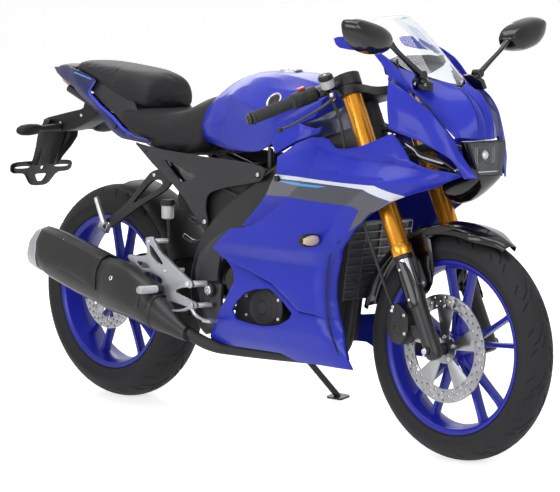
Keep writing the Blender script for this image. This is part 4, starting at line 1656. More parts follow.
def mirrors():
    """Five-sided mirror heads on knuckled stems."""
    form = Form("mirror_heads", "chassis", "gloss")
    outline = [(0.214, 1.086), (0.226, 1.110), (0.262, 1.130), (0.330, 1.146), (0.366, 1.144), (0.375, 1.130),
               (0.366, 1.096), (0.332, 1.066), (0.276, 1.052), (0.232, 1.058)]
    smooth = soften([(y, z) for y, z in outline], 2, 0.22)
    middle_y = sum(y for y, _ in smooth) / len(smooth)
    middle_z = sum(z for _, z in smooth) / len(smooth)
    rings = []
    for x, share in ((1.262, 0.955), (1.264, 1.0), (1.272, 1.0), (1.290, 0.96), (1.306, 0.84), (1.315, 0.62),
                     (1.319, 0.30)):
        rings.append([Vector((x, -(middle_y + (y - middle_y) * share), middle_z + (z - middle_z) * share))
                      for y, z in smooth])
    form.loft(rings, "gloss")
    form.mirror().done(bevel=0.002, segments=3, sharp=30, replaces=("side_mirrors",), slot="gloss_black")
    glass = Form("mirror_glasses", "chassis", "chrome")
    rings = [[Vector((x, -(middle_y + (y - middle_y) * 0.90), middle_z + (z - middle_z) * 0.90))
              for y, z in smooth] for x in (1.264, 1.2605)]
    glass.loft(rings, "chrome")
    glass.mirror().done(bevel=0.0008)
    arm = Form("mirror_stems", "chassis", "gloss")
    arm.sweep([(1.290, -0.100, 0.982), (1.292, -0.112, 1.000), (1.291, -0.150, 1.028), (1.290, -0.196, 1.060),
               (1.289, -0.222, 1.082)], [0.0150, 0.0115, 0.0092, 0.0084, 0.0105], "gloss", sides=20, steps=8,
              flat=0.72)
    arm.rod((1.304, -0.108, 1.000), (1.276, -0.108, 1.000), 0.0115, "gloss", 24, 0.002)
    base = [(1.322, 0.962), (1.316, 0.984), (1.290, 0.998), (1.262, 0.998), (1.250, 0.984), (1.252, 0.962)]
    arm.loft([[Vector((x, -0.088 + 0.25 * (z - 0.98) - 0.1 * (x - 1.286), z - 0.003)) for x, z in base],
              [Vector((1.286 + (x - 1.286) * 0.92, -0.106 + 0.25 * (z - 0.98) - 0.1 * (x - 1.286), z))
               for x, z in base]], "gloss")
    for x in (1.266, 1.308):
        arm.bolt((x, -0.1055 - 0.1 * (x - 1.286), 0.976), (0.1, -1, 0.3), 0.0042, "bolt", 0.5)
    arm.mirror().done(bevel=0.0012, sharp=34)


# Bars and controls, drawn along the right bar and repeated on the left.
BAR_ROOT = Vector((1.018, -0.138, 0.965))
BAR_END = Vector((0.909, -0.361, 0.873))
BAR_LONG = (BAR_END - BAR_ROOT).length
BAR_WAY = (BAR_END - BAR_ROOT).normalized()
BAR_AHEAD = (Vector((1, 0, 0)) - BAR_WAY * BAR_WAY.x).normalized()
BAR_ABOVE = BAR_WAY.cross(BAR_AHEAD)


def bar(out, ahead=0.0, above=0.0):
    """A spot beside the right bar: along it, ahead of it and above it."""
    return BAR_ROOT + BAR_WAY * out + BAR_AHEAD * ahead + BAR_ABOVE * above


# Along the bar from its root: the perch of lever and pot, and the grip's two ends.
PERCH = BAR_LONG * 0.09
GRIP_END = BAR_LONG - 0.0150
GRIP_START = GRIP_END - 0.122
POD_HALF = GRIP_RADIUS * 1.25


def clip_on_bars():
    """The bars on their collars round the fork tubes, and the weights at their ends."""
    metal = Form("clip_on_bars", "steering", "satin")
    collar = leg(0.7515, -1)
    metal.lathe([(0.0274, -0.0195), (0.0355, -0.0195), (0.0368, -0.0180), (0.0368, 0.0120), (0.0355, 0.0136),
                 (0.0274, 0.0136)], collar, STEER_UP, "satin", 48)
    metal.rod(bar(-0.004), bar(BAR_LONG - 0.001), 0.0109, "satin", 28)
    metal.bolt(collar + Vector((-0.030, 0.020, 0)), (-0.7, 0.7, 0), 0.0046, "bolt", 0.7)
    metal.mirror().done(bevel=0.0010, sharp=34, replaces=("handlebars",), slot="black_metal")

    weight = Form("bar_end_weights", "steering", "satin")
    weight.lathe([(POLE, 0.0135), (0.0090, 0.0130), (0.0140, 0.0090), (0.0152, 0.0040), (0.0140, 0.0010),
                  (0.0120, 0.0), (0.0120, -0.0015), (POLE, -0.0015)], bar(BAR_LONG - 0.0145), BAR_WAY,
                 "satin", 36)
    weight.mirror().done(bevel=0.0006, sharp=40)


def grip_sleeves():
    """Ribbed rubber grips with a flange at the inner end."""
    grip = Form("grip_sleeves", "steering", "grip")
    start, end = GRIP_START, GRIP_END
    profile = [(0.0114, start), (0.0205, start), (0.0212, start + 0.0010), (0.0212, start + 0.0034),
               (0.0200, start + 0.0048), (0.0168, start + 0.0062)]
    ribs = 22
    for step in range(ribs):
        at_rib = start + 0.010 + (end - start - 0.020) * step / ribs
        wide = (end - start - 0.020) / ribs
        profile += [(0.0152, at_rib), (0.0162, at_rib + wide * 0.18), (0.0162, at_rib + wide * 0.72),
                    (0.0152, at_rib + wide * 0.9)]
    profile += [(0.0156, end - 0.0085), (0.0176, end - 0.0070), (0.0178, end - 0.0020), (0.0165, end),
                (0.0114, end)]
    grip.lathe(profile, BAR_ROOT, BAR_WAY, "grip", 40)
    grip.mirror().done(sharp=50, replaces=("grips",), slot="grip_rubber")


def hand_levers():
    """Curved levers with a ball at the tip."""
    lever = Form("hand_levers", "steering", "satin")
    shape = [(0.036, 0.058, -0.006), (0.060, 0.074, -0.011), (0.085, 0.0795, -0.015), (0.125, 0.0805, -0.022),
             (0.165, 0.0775, -0.029), (0.200, 0.0740, -0.0315)]
    line = [bar(out, ahead, above) for out, ahead, above in shape]
    lever.sweep(line, [0.0068, 0.0064, 0.0058, 0.0054, 0.0050, 0.0046], "satin", sides=16, steps=8, flat=0.62)
    lever.lathe([(POLE, -0.0080), (0.0052, -0.0060), (0.0080, 0.0), (0.0052, 0.0060), (POLE, 0.0080)],
                bar(0.2065, 0.0730, -0.0320), BAR_WAY, "satin", 24)
    lever.rod(bar(0.040, 0.058, -0.016), bar(0.040, 0.058, 0.006), 0.0062, "bolt", 18)
    lever.mirror().done(bevel=0.0008, sharp=34, replaces=("control_levers",), slot="black_metal")


def switch_pods():
    """Switch housings in two halves beside the lever's clamp, with a stop switch on the right."""
    pods = Form("switch_pods", "steering", "black")
    wide = POD_HALF
    pod_start, pod_end = BAR_LONG * 0.235, GRIP_START - 0.0003
    pod_middle = (pod_start + pod_end) / 2
    rings = []
    for out, size in ((pod_start, 0.86), (pod_start + 0.003, 0.97), (pod_middle - 0.0006, 1.0),
                      (pod_middle, 0.965), (pod_middle + 0.0006, 1.0), (pod_end - 0.004, 0.97),
                      (pod_end, 0.88)):
        ring = []
        for a, b in soften([(-wide, -wide * 0.96), (wide, -wide * 0.96), (wide, wide * 1.08),
                            (-wide * 0.9, wide * 1.08)], 2, 0.24):
            ring.append(bar(out, a * size, b * size))
        rings.append(ring)
    pods.loft(rings, "black")
    clamp = soften([(-wide * 0.95, -wide * 0.66), (wide * 1.3, -wide * 0.60), (wide * 1.36, wide * 0.55),
                    (-wide * 0.95, wide * 0.76)], 2, 0.22)
    pods.loft([[bar(PERCH + 0.001, a, b) for a, b in clamp], [bar(pod_start - 0.002, a, b)
                                                              for a, b in clamp]], "satin")
    pods.sweep([bar(PERCH + 0.012, wide * 0.9, 0), bar(0.036, 0.046, -0.004), bar(0.042, 0.056, -0.006)],
               [0.0105, 0.0085, 0.0080], "satin", sides=16, flat=0.8)
    pods.bolt(bar(PERCH + 0.010, -wide * 0.95, 0.006), -BAR_AHEAD, 0.0040, "bolt", 0.5)
    pods.mirror()
    red = bar(pod_middle + 0.002, -wide * 0.35, wide * 1.06)
    turn = Matrix((BAR_WAY, BAR_AHEAD, BAR_ABOVE)).transposed()
    pods.block(red - Vector((0.0095, 0.006, 0.002)), red + Vector((0.0095, 0.006, 0.0052)), "red", turn)
    grey = bar(pod_middle, -wide * 1.0, 0.002)
    pods.block(grey - Vector((0.0080, 0.002, 0.0065)), grey + Vector((0.0080, 0.0045, 0.0065)), "grey", turn)
    left = Vector((grey.x, -grey.y, grey.z))
    left_ways = [Vector((way.x, -way.y, way.z)) for way in (BAR_WAY, BAR_AHEAD, BAR_ABOVE)]
    left_turn = Matrix(left_ways).transposed()
    pods.block(left - Vector((0.0080, 0.002, 0.0065)), left + Vector((0.0080, 0.0045, 0.0065)), "grey",
               left_turn)
    pods.done(bevel=0.0012, sharp=34, replaces=("switch_housings",), slot="black_plastic")


def brake_fluid_pot():
    """The front brake's pot with its ribbed cap, above the right clamp."""
    pot = Form("brake_fluid_pot", "steering", "black")
    low = bar(PERCH + POD_HALF * 0.6, POD_HALF * 1.6, POD_HALF * 0.6)
    up = BAR_ABOVE
    pot.rod(bar(PERCH + POD_HALF * 0.6, POD_HALF * 0.8, 0), low + up * 0.006, 0.0088, "satin", 20)
    pot.lathe([(POLE, 0.0), (0.0160, 0.0), (0.0185, 0.0020), (0.0190, 0.0240), (POLE, 0.0240)], low, up,
              "fluid", 40)
    pot.lathe([(POLE, 0.0240), (0.0195, 0.0240), (0.0195, 0.0330), (0.0185, 0.0345), (0.0176, 0.0345),
               (0.0168, 0.0368), (POLE, 0.0368)], low, up, "black", 40)
    for step in range(12):
        turn_at = 2 * math.pi * step / 12
        _, side, over = basis(up)
        spot = low + side * (0.0192 * math.cos(turn_at)) + over * (0.0192 * math.sin(turn_at))
        pot.rod(spot + up * 0.0255, spot + up * 0.0325, 0.0011, "black", 8, 0.0004)
    pot.bolt(low + up * 0.0366, up, 0.0036, "bolt", 0.3)
    pot.done(bevel=0.0006, sharp=40)


def fork_clamps():
    """Both clamps across the fork tubes, with the stem's nut."""
    clamps = Form("fork_clamps", "steering", "satin")
    offset = (FRONT_AXLE - STEER_FOOT).dot(STEER_FRONT)
    height = (FRONT_AXLE - STEER_FOOT).dot(STEER_UP)
    for place, thick in ((0.530, 0.024), (0.706, 0.024)):
        rings = []
        outline = [(-0.030, -0.036), (0.000, -0.070), (0.012, -0.118), (0.030, -0.147), (0.062, -0.147),
                   (0.076, -0.118), (0.066, -0.070), (0.048, -0.020), (0.048, 0.020), (0.066, 0.070),
                   (0.076, 0.118), (0.062, 0.147), (0.030, 0.147), (0.012, 0.118), (0.000, 0.070),
                   (-0.030, 0.036)]
        shape = [(f + offset - 0.040, s) for f, s in soften(outline, 2, 0.25)]
        for level in (0.0, thick):
            rings.append([STEER_FOOT + STEER_FRONT * f + Vector((0, s, 0)) + STEER_UP
                          * (height + place + level) for f, s in shape])
        clamps.loft(rings, "satin")
    stem_at = STEER_FOOT + STEER_UP * (height + 0.730)
    clamps.lathe([(0.0082, 0.0), (0.0195, 0.0), (0.0205, 0.002), (0.0205, 0.0090), (0.0175, 0.0102),
                  (0.0082, 0.0102)], stem_at, STEER_UP, "bolt", 6)
    clamps.lathe([(0.0082, -0.20), (0.0138, -0.20), (0.0138, 0.0), (0.0082, 0.0)], stem_at, STEER_UP, "satin",
                 32)
    clamps.done(bevel=0.0022, segments=3, sharp=34, replaces=("triple_clamp",), slot="black_metal")


# Middle and rear: silencer, frame, side covers, foot rests, plate holder, indicators, engine.

SILENCER = [(0.520, 0.258, 0.020, 0.020), (0.495, 0.266, 0.026, 0.024), (0.455, 0.284, 0.036, 0.034),
            (0.407, 0.304, 0.050, 0.044), (0.365, 0.330, 0.061, 0.050), (0.290, 0.354, 0.072, 0.054),
            (0.214, 0.366, 0.073, 0.056), (0.192, 0.371, 0.073, 0.056), (0.060, 0.401, 0.074, 0.056),
            (-0.060, 0.432, 0.072, 0.055), (-0.096, 0.441, 0.062, 0.050),]
SILENCER_SIDES = [(-1.0, -0.30), (-0.96, 0.42), (-0.62, 0.86), (-0.15, 1.0), (0.55, 0.86), (1.0, 0.30),
                  (1.0, -0.40), (0.45, -0.96), (-0.35, -0.98), (-0.84, -0.72)]
SILENCER_SIDE = -0.210


def silencer_ring(x, z, tall, wide, lean=0.0):
    """The silencer's section at one station."""
    return [Vector((x + lean * b * tall, SILENCER_SIDE + a * wide, z + b * tall))
            for a, b in soften(SILENCER_SIDES, 1, 0.12)]


def silencer():
    """A folded black can with a shield ahead of its seam, and a bright end cap."""
    can = Form("silencer_can", "chassis", "satin")
    can.loft([silencer_ring(*row) for row in SILENCER], "satin")
    shield = []
    for x, z, tall, wide in ((0.404, 0.306, 0.052, 0.046), (0.365, 0.330, 0.0635, 0.052),
                             (0.290, 0.354, 0.0745, 0.0562), (0.204, 0.3685, 0.0760, 0.0582)):
        shield.append(silencer_ring(x, z, tall, wide, 0.12))
    can.loft(shield, "satin")
    cover = []
    lower_edge = [(-0.088, 0.426), (-0.066, 0.412), (-0.040, 0.399), (0.000, 0.398), (0.030, 0.399),
                  (0.080, 0.386), (0.140, 0.368), (0.186, 0.353)]
    for x, low in lower_edge:
        share = (0.192 - x) / 0.288
        z = 0.371 + 0.070 * share
        tall, wide = 0.0765 - 0.006 * ease((share - 0.7) / 0.3), 0.0590 - 0.003 * ease((share - 0.7) / 0.3)
        reach = (low - z) / tall
        spots = [(-1.0, reach), (-1.0, reach + 0.20), (-0.97, 0.40), (-0.90, 0.52), (-0.64, 0.86),
                 (-0.52, 0.92), (-0.15, 1.02), (0.10, 0.98), (0.55, 0.87)]
        cover.append([Vector((x, SILENCER_SIDE + a * wide, z + b * tall)) for a, b in spots])
    mesh_sheet(can, cover, "satin", wall=0.0045, hub=(0.05, SILENCER_SIDE, 0.36))
    for x, z, low in ((0.011, 0.491, 0.0), (0.169, 0.436, 0.0)):
        can.bolt((x, -0.243, z - 0.012), (0, -0.62, 0.78), 0.0056, "bolt", 0.6)
    can.bolt((0.250, -0.262, 0.392), (0, -0.9, 0.4), 0.0070, "bolt", 0.5)
    can.done(bevel=0.0012, sharp=24, segments=2, replaces=("muffler",), slot="black_metal")
    cap = Form("silencer_end_cap", "chassis", "alloy")
    rings = [silencer_ring(-0.094, 0.4405, 0.0645, 0.0520, 0.10),
             silencer_ring(-0.104, 0.4430, 0.0665, 0.0535, 0.12),
             silencer_ring(-0.128, 0.4450, 0.0600, 0.0490, 0.22),
             silencer_ring(-0.146, 0.4440, 0.0470, 0.0390, 0.26),
             silencer_ring(-0.148, 0.4438, 0.0400, 0.0330, 0.26),
             silencer_ring(-0.128, 0.4438, 0.0360, 0.0300, 0.26)]
    cap.loft(rings, "alloy")
    cap.lathe([(0.0120, 0.0), (0.0150, 0.0), (0.0150, 0.0260), (0.0120, 0.0260)],
              (-0.124, SILENCER_SIDE, 0.440), (-1, 0, 0.1), "satin", 32)
    cap.done(bevel=0.0010, sharp=30)
    hanger = Form("silencer_hanger", "chassis", "satin")
    hanger.sweep([(0.268, -0.172, 0.436), (0.290, -0.200, 0.424), (0.300, -0.224, 0.414)],
                 [0.009, 0.010, 0.008], "satin", sides=12, flat=0.6)
    hanger.done()


SPAR_RIDGE = [(0.850, 0.715), (0.744, 0.655), (0.675, 0.597), (0.611, 0.553), (0.552, 0.505), (0.513, 0.458),
              (0.494, 0.404), (0.510, 0.340), (0.530, 0.270)]
SPAR_OUTLINE = [(0.845, 0.748), (0.790, 0.726), (0.743, 0.686), (0.696, 0.672), (0.643, 0.622),
                (0.583, 0.579), (0.523, 0.533), (0.487, 0.472), (0.472, 0.432), (0.478, 0.404),
                (0.492, 0.370), (0.512, 0.311), (0.524, 0.262), (0.556, 0.254), (0.572, 0.300),
                (0.566, 0.360), (0.568, 0.430), (0.580, 0.474), (0.640, 0.520), (0.720, 0.580),
                (0.800, 0.640), (0.860, 0.690)]


def spars():
    """The folded outer faces of the frame's spars, with their pivot plates."""
    form = Form("frame_spar_faces", "chassis", "frame")

    def face(x, z):
        gap = line_gap(x, z, SPAR_RIDGE)
        above = gap if x > 0.53 else -gap if x > SPAR_RIDGE[6][0] and z < 0.40 else gap
        return -(0.1520 - 0.34 * max(0.0, above) - 0.10 * max(0.0, -above))

    form.plate(SPAR_OUTLINE, face, lambda x, z: face(x, z) + 0.009, "frame", step=0.012,
               folds=(SPAR_RIDGE[1:-1],))
    form.bolt((0.537, -0.1505, 0.377), (0, -1, 0), 0.0130, "bolt", 0.5)
    form.lathe([(0.0132, -0.004), (0.0190, -0.004), (0.0190, 0.0030), (0.0175, 0.0045), (0.0132, 0.0045)],
               (0.537, -0.1490, 0.377), (0, -1, 0), "frame", 32)
    form.mirror().done(bevel=0.0015, sharp=16, segments=2)
    panel = Form("inner_side_panels", "chassis", "black")
    panel.plate([(0.498, 0.575), (0.516, 0.650), (0.560, 0.672), (0.700, 0.700), (0.760, 0.705),
                 (0.700, 0.650), (0.620, 0.600), (0.540, 0.545), (0.505, 0.520)], -0.1330, -0.1290, "black",
                step=0.02)
    panel.mirror().done(bevel=0.0008)


COVER_OUTLINE = [(0.182, 0.769), (0.228, 0.763), (0.344, 0.755), (0.434, 0.751), (0.507, 0.747),
                 (0.622, 0.745), (0.710, 0.742), (0.771, 0.735), (0.784, 0.724), (0.767, 0.698),
                 (0.708, 0.686), (0.612, 0.669), (0.552, 0.653), (0.530, 0.638), (0.523, 0.608),
                 (0.528, 0.562), (0.520, 0.550), (0.507, 0.552), (0.481, 0.572), (0.424, 0.627),
                 (0.361, 0.668), (0.286, 0.707), (0.240, 0.735)]
COVER_RIDGE = [(0.300, 0.757), (0.344, 0.749), (0.434, 0.727), (0.513, 0.717), (0.584, 0.716), (0.700, 0.722),
               (0.770, 0.722)]
COVER_LIP = [(0.312, 0.725), (0.335, 0.733), (0.484, 0.694), (0.486, 0.682), (0.420, 0.661), (0.402, 0.663)]
COVER_HOLE = [(0.334, 0.7250), (0.350, 0.7290), (0.474, 0.6935), (0.475, 0.6860), (0.420, 0.6700),
              (0.405, 0.6715)]


def side_covers():
    """Dark covers under the seat, ridged, with a lipped recess and two bolts."""
    form = Form("side_cover_shells", "chassis", "grey")
    lip = soften(COVER_LIP, 2, 0.18)
    hole = soften(COVER_HOLE, 2, 0.16)

    def face(x, z):
        side = 0.128 + 0.034 * ease((x - 0.12) / 0.48) + 0.020 * ease((x - 0.62) / 0.30)
        gap = line_gap(x, z, COVER_RIDGE)
        side -= 0.30 * max(0.0, gap) + 0.07 * max(0.0, -gap)
        if inside(x, z, lip):
            side -= 0.0035 * ease(edge_gap(x, z, lip) / 0.005) - 0.0018 * ease(1 - edge_gap(x, z, lip)
                                                                               / 0.003)
        side -= 0.004 * ease((0.600 - z) / 0.05)
        return -side

    form.plate(soften(COVER_OUTLINE, 1, 0.2), face, lambda x, z: face(x, z) + 0.0035, "grey", holes=(hole,),
               step=0.0075, folds=(COVER_RIDGE[1:-1],))
    form.plate([(x + (x - 0.41) * 0.10, z + (z - 0.695) * 0.16) for x, z in hole],
               lambda x, z: face(x, z) + 0.009, lambda x, z: face(x, z) + 0.011, "gloss", step=0.02)
    for x, z, radius in ((0.752, 0.713, 0.0058), (0.514, 0.566, 0.0066)):
        spot = Vector((x, face(x, z) - 0.0004, z))
        form.lathe([(radius * 1.1, -0.002), (radius * 1.75, -0.002), (radius * 1.75, 0.0012),
                    (radius * 1.55, 0.0022), (radius * 1.1, 0.0022)], spot, (0, -1, 0), "black", 28)
        form.bolt(spot, (0, -1, 0), radius, "bolt", 0.5)
    form.disc((0.244, face(0.244, 0.746) - 0.0006, 0.746), (0, -1, 0.1), 0.0042, 0.0016, "gloss", 20, 0.0004)
    form.mirror().done(bevel=0.0010, sharp=20, replaces=("side_covers",), slot="grey_plastic")


REST_NEAR, REST_FAR = -0.2040, -0.1950
REST_OUTLINE = [(0.327, 0.509), (0.350, 0.515), (0.365, 0.508), (0.391, 0.474), (0.419, 0.460),
                (0.497, 0.416), (0.522, 0.405), (0.530, 0.394), (0.521, 0.384), (0.505, 0.387),
                (0.457, 0.377), (0.461, 0.364), (0.521, 0.352), (0.544, 0.346), (0.548, 0.334),
                (0.529, 0.329), (0.473, 0.337), (0.421, 0.342), (0.417, 0.358), (0.403, 0.370),
                (0.357, 0.370), (0.335, 0.378), (0.315, 0.394), (0.249, 0.448), (0.261, 0.458),
                (0.289, 0.454), (0.327, 0.459), (0.339, 0.466)]
REST_HOLES = [[(0.346, 0.492), (0.356, 0.490), (0.405, 0.446), (0.401, 0.438), (0.383, 0.440),
               (0.349, 0.466)], [(0.289, 0.441), (0.327, 0.440), (0.345, 0.432), (0.347, 0.424),
                                 (0.309, 0.422)], [(0.323, 0.414), (0.357, 0.414), (0.405, 0.400),
                                                   (0.399, 0.382), (0.359, 0.382), (0.335, 0.394)]]


def foot_rests():
    """Silver hangers with their pegs, pedal and lever."""
    plate = Form("foot_rest_hangers", "chassis", "alloy")
    plate.plate(soften(REST_OUTLINE, 1, 0.22), REST_NEAR, REST_FAR, "alloy",
                holes=[soften(hole, 2, 0.2) for hole in REST_HOLES], step=0.03)
    for x, z, radius in ((0.509, 0.395, 0.0075), (0.531, 0.338, 0.0060), (0.415, 0.424, 0.0050),
                         (0.345, 0.501, 0.0056)):
        plate.bolt((x, REST_NEAR - 0.0004, z), (0, -1, 0), radius, "bolt", 0.6)
        plate.rod((x, REST_FAR + 0.0005, z), (x + 0.020, -0.1500, z), radius * 1.25, "alloy", 20)
    plate.mirror().done(bevel=0.0020, segments=3, sharp=34, replaces=("footrests",), slot="cast_alloy")

    peg = Form("rider_pegs", "chassis", "alloy")
    root = Vector((0.4000, REST_NEAR, 0.3720))
    peg.rod(root + Vector((0, 0.006, 0)), root + Vector((0, -0.020, 0)), 0.0120, "satin", 28)
    peg.rod(root + Vector((0, -0.016, 0)), root + Vector((0, -0.086, 0.003)), 0.0098, "alloy", 28)
    profile = []
    for step in range(12):
        start = -0.0010 + step * 0.0052
        profile += [(0.0104, start), (0.0118, start + 0.0008), (0.0118, start + 0.0030),
                    (0.0104, start + 0.0038)]
    peg.lathe([(0.0090, -0.0012)] + profile + [(0.0090, 0.0625)], root + Vector((0, -0.022, 0.0004)),
              (0, -1, 0.04), "alloy", 28)
    peg.rod(root + Vector((0, -0.080, 0)), root + Vector((-0.010, -0.082, -0.040)), 0.0034, "satin", 14)
    peg.lathe([(POLE, -0.0052), (0.0046, -0.0034), (0.0060, 0.0), (0.0046, 0.0034), (POLE, 0.0052)],
              root + Vector((-0.0105, -0.082, -0.042)), (0, 0, 1), "satin", 20)
    peg.mirror().done(bevel=0.0006, sharp=36)

    pedal = Form("foot_controls", "chassis", "alloy")
    pedal.sweep([(0.532, -0.206, 0.338), (0.496, -0.208, 0.322), (0.452, -0.210, 0.316),
                 (0.424, -0.211, 0.320), (0.408, -0.212, 0.325)], [0.0075, 0.0070, 0.0062, 0.0060, 0.0050],
                "alloy", sides=16, steps=6, flat=0.7)
    pedal.sweep([(0.526, -0.206, 0.336), (0.548, -0.208, 0.314), (0.580, -0.210, 0.305),
                 (0.612, -0.212, 0.304)], [0.0072, 0.0064, 0.0058, 0.0056], "alloy", sides=16, steps=6,
                flat=0.7)
    pedal.block((0.600, -0.232, 0.3015), (0.632, -0.200, 0.3095), "alloy")
    for step in range(4):
        pedal.block((0.603 + step * 0.007, -0.231, 0.3095), (0.6055 + step * 0.007, -0.201, 0.3110), "alloy")
    pedal.rod((0.530, -0.192, 0.337), (0.530, -0.213, 0.337), 0.0100, "alloy", 24)
    pedal.mirror().done(bevel=0.0010, sharp=36, replaces=("foot_controls",), slot="cast_alloy")


def pillion_rests():
    """The folded pillion pegs on their hangers."""
    frame_piece = Form("pillion_rest_frames", "chassis", "satin")
    outline = [(0.262, 0.690), (0.320, 0.704), (0.350, 0.690), (0.346, 0.660), (0.318, 0.636), (0.230, 0.596),
               (0.150, 0.552), (0.085, 0.512), (0.058, 0.512), (0.052, 0.532), (0.090, 0.552), (0.150, 0.588),
               (0.236, 0.668)]
    opening = soften([(0.262, 0.664), (0.304, 0.668), (0.312, 0.652), (0.252, 0.622), (0.178, 0.590),
                      (0.194, 0.606)], 2, 0.2)
    frame_piece.plate(soften(outline, 2, 0.2), -0.1240, -0.1140, "satin", holes=(opening,), step=0.03)
    for x, z in ((0.330, 0.684), (0.276, 0.680), (0.074, 0.524)):
        frame_piece.bolt((x, -0.1244, z), (0, -1, 0), 0.0058, "bolt", 0.6)
    frame_piece.mirror().done(bevel=0.0018, segments=3, sharp=34, replaces=("pillion_footrests",),
                              slot="black_metal")
    peg = Form("pillion_pegs", "chassis", "alloy")
    root = Vector((0.070, -0.127, 0.518))
    peg.block(root + Vector((-0.024, -0.012, -0.014)), root + Vector((0.012, 0.004, 0.012)), "alloy",
              Matrix.Rotation(math.radians(30), 3, "Y"))
    peg.rod(root + Vector((0.004, -0.014, 0)), root + Vector((0.004, 0.006, 0)), 0.0070, "satin", 20)
    way = Vector((-0.34, -0.10, 0.93)).normalized()
    peg.lathe([(POLE, 0.0), (0.0090, 0.0), (0.0094, 0.010), (0.0078, 0.078), (0.0066, 0.084), (POLE, 0.085)],
              root + Vector((-0.004, -0.006, 0.004)), way, "alloy", 6)
    for step in range(7):
        peg.lathe([(0.0070, 0.0), (0.0104 - step * 0.0003, 0.0006), (0.0104 - step * 0.0003, 0.0030),
                   (0.0070, 0.0036)], root + Vector((-0.004, -0.006, 0.004)) + way * (0.016 + step * 0.0085),
                  way, "alloy", 6)
    peg.mirror().done(bevel=0.0006, sharp=36)


def inner_mudguard():
    """The dark sheet between the rear tyre and the frame, with the box that it carries."""
    form = Form("inner_mudguard", "chassis", "black")
    rows = []
    for step in range(9):
        turn = math.radians(22 + step * 7)
        rows.append([REAR_AXLE + Vector((math.cos(turn) * (0.338 - 0.020 * abs(side) ** 3), side * 0.082,
                                         math.sin(turn) * (0.338 - 0.020 * abs(side) ** 3)))
                     for side in (-1, -0.8, -0.5, 0, 0.5, 0.8, 1)])
    mesh_sheet(form, rows, "black", wall=-0.003, hub=REAR_AXLE)
    form.loft([[Vector((x, side, z)) for x, z in soften([(0.330, 0.600), (0.345, 0.660), (0.470, 0.650),
                                                         (0.500, 0.600), (0.470, 0.570), (0.400, 0.566)], 2,
                                                        0.2)] for side in (-0.088, 0.088)], "black")
    form.sweep([(0.372, -0.096, 0.512), (0.420, -0.104, 0.500), (0.470, -0.112, 0.512),
                (0.512, -0.116, 0.548)], 0.0075, "gloss", sides=12)
    form.sweep([(0.400, -0.100, 0.560), (0.450, -0.108, 0.556), (0.500, -0.114, 0.566)], 0.0055, "satin",
               sides=12)
    form.done(bevel=0.002, sharp=34)


def rear_pot():
    """The rear brake's fluid pot."""
    form = Form("rear_fluid_pot", "chassis", "fluid")
    low = Vector((0.340, -0.130, 0.560))
    form.lathe([(POLE, 0.0), (0.0140, 0.0), (0.0175, 0.0030), (0.0180, 0.0380), (POLE, 0.0380)], low,
               (0, 0, 1), "fluid", 36)
    form.lathe([(POLE, 0.0380), (0.0200, 0.0380), (0.0205, 0.0400), (0.0205, 0.0480), (0.0190, 0.0500),
                (0.0184, 0.0540), (POLE, 0.0545)], low, (0, 0, 1), "black", 36)
    for step in range(14):
        turn = 2 * math.pi * step / 14
        spot = low + Vector((0.0205 * math.cos(turn), 0.0205 * math.sin(turn), 0.0400))
        form.rod(spot, spot + Vector((0, 0, 0.0080)), 0.0011, "black", 8, 0.0004)
    form.done(bevel=0.0005, replaces=("rear_reservoir",), slot="black_plastic")
    line = Form("rear_fluid_line", "chassis", "black")
    line.sweep([low + Vector((0, 0, 0.002)), low + Vector((0.002, 0.002, -0.030)), (0.352, -0.134, 0.480),
                (0.366, -0.138, 0.440)], 0.0042, "black", sides=10)
    line.done()


def engine_covers():
    """Turned covers on the crankcase, seen through the fairing's opening."""
    for side, name in ((-1, "clutch_cover"), (1, "generator_cover")):
        form = Form(name, "chassis", "engine")
        spot = Vector((0.760, side * 0.1500, 0.352))
        axis = (0, side, 0)
        form.lathe([(POLE, 0.0), (0.0760, 0.0), (0.0760, 0.0030), (0.0725, 0.0050), (0.0600, 0.0060),
                    (0.0570, 0.0090), (0.0440, 0.0100), (0.0420, 0.0075), (0.0200, 0.0070), (0.0180, 0.0095),
                    (POLE, 0.0100)], spot, axis, "engine", 64)
        for step in range(8):
            turn = 2 * math.pi * (step + 0.5) / 8
            place = spot + Vector((0.0680 * math.cos(turn), side * 0.0050, 0.0680 * math.sin(turn)))
            form.bolt(place, axis, 0.0052, "bolt", 0.7)
        form.done(bevel=0.0006, sharp=30)


HOLDER_ARM = [(-0.140, 0.874), (-0.100, 0.876), (-0.088, 0.848), (-0.118, 0.812), (-0.190, 0.783),
              (-0.250, 0.772), (-0.335, 0.772), (-0.352, 0.790), (-0.345, 0.808), (-0.240, 0.830),
              (-0.150, 0.848)]


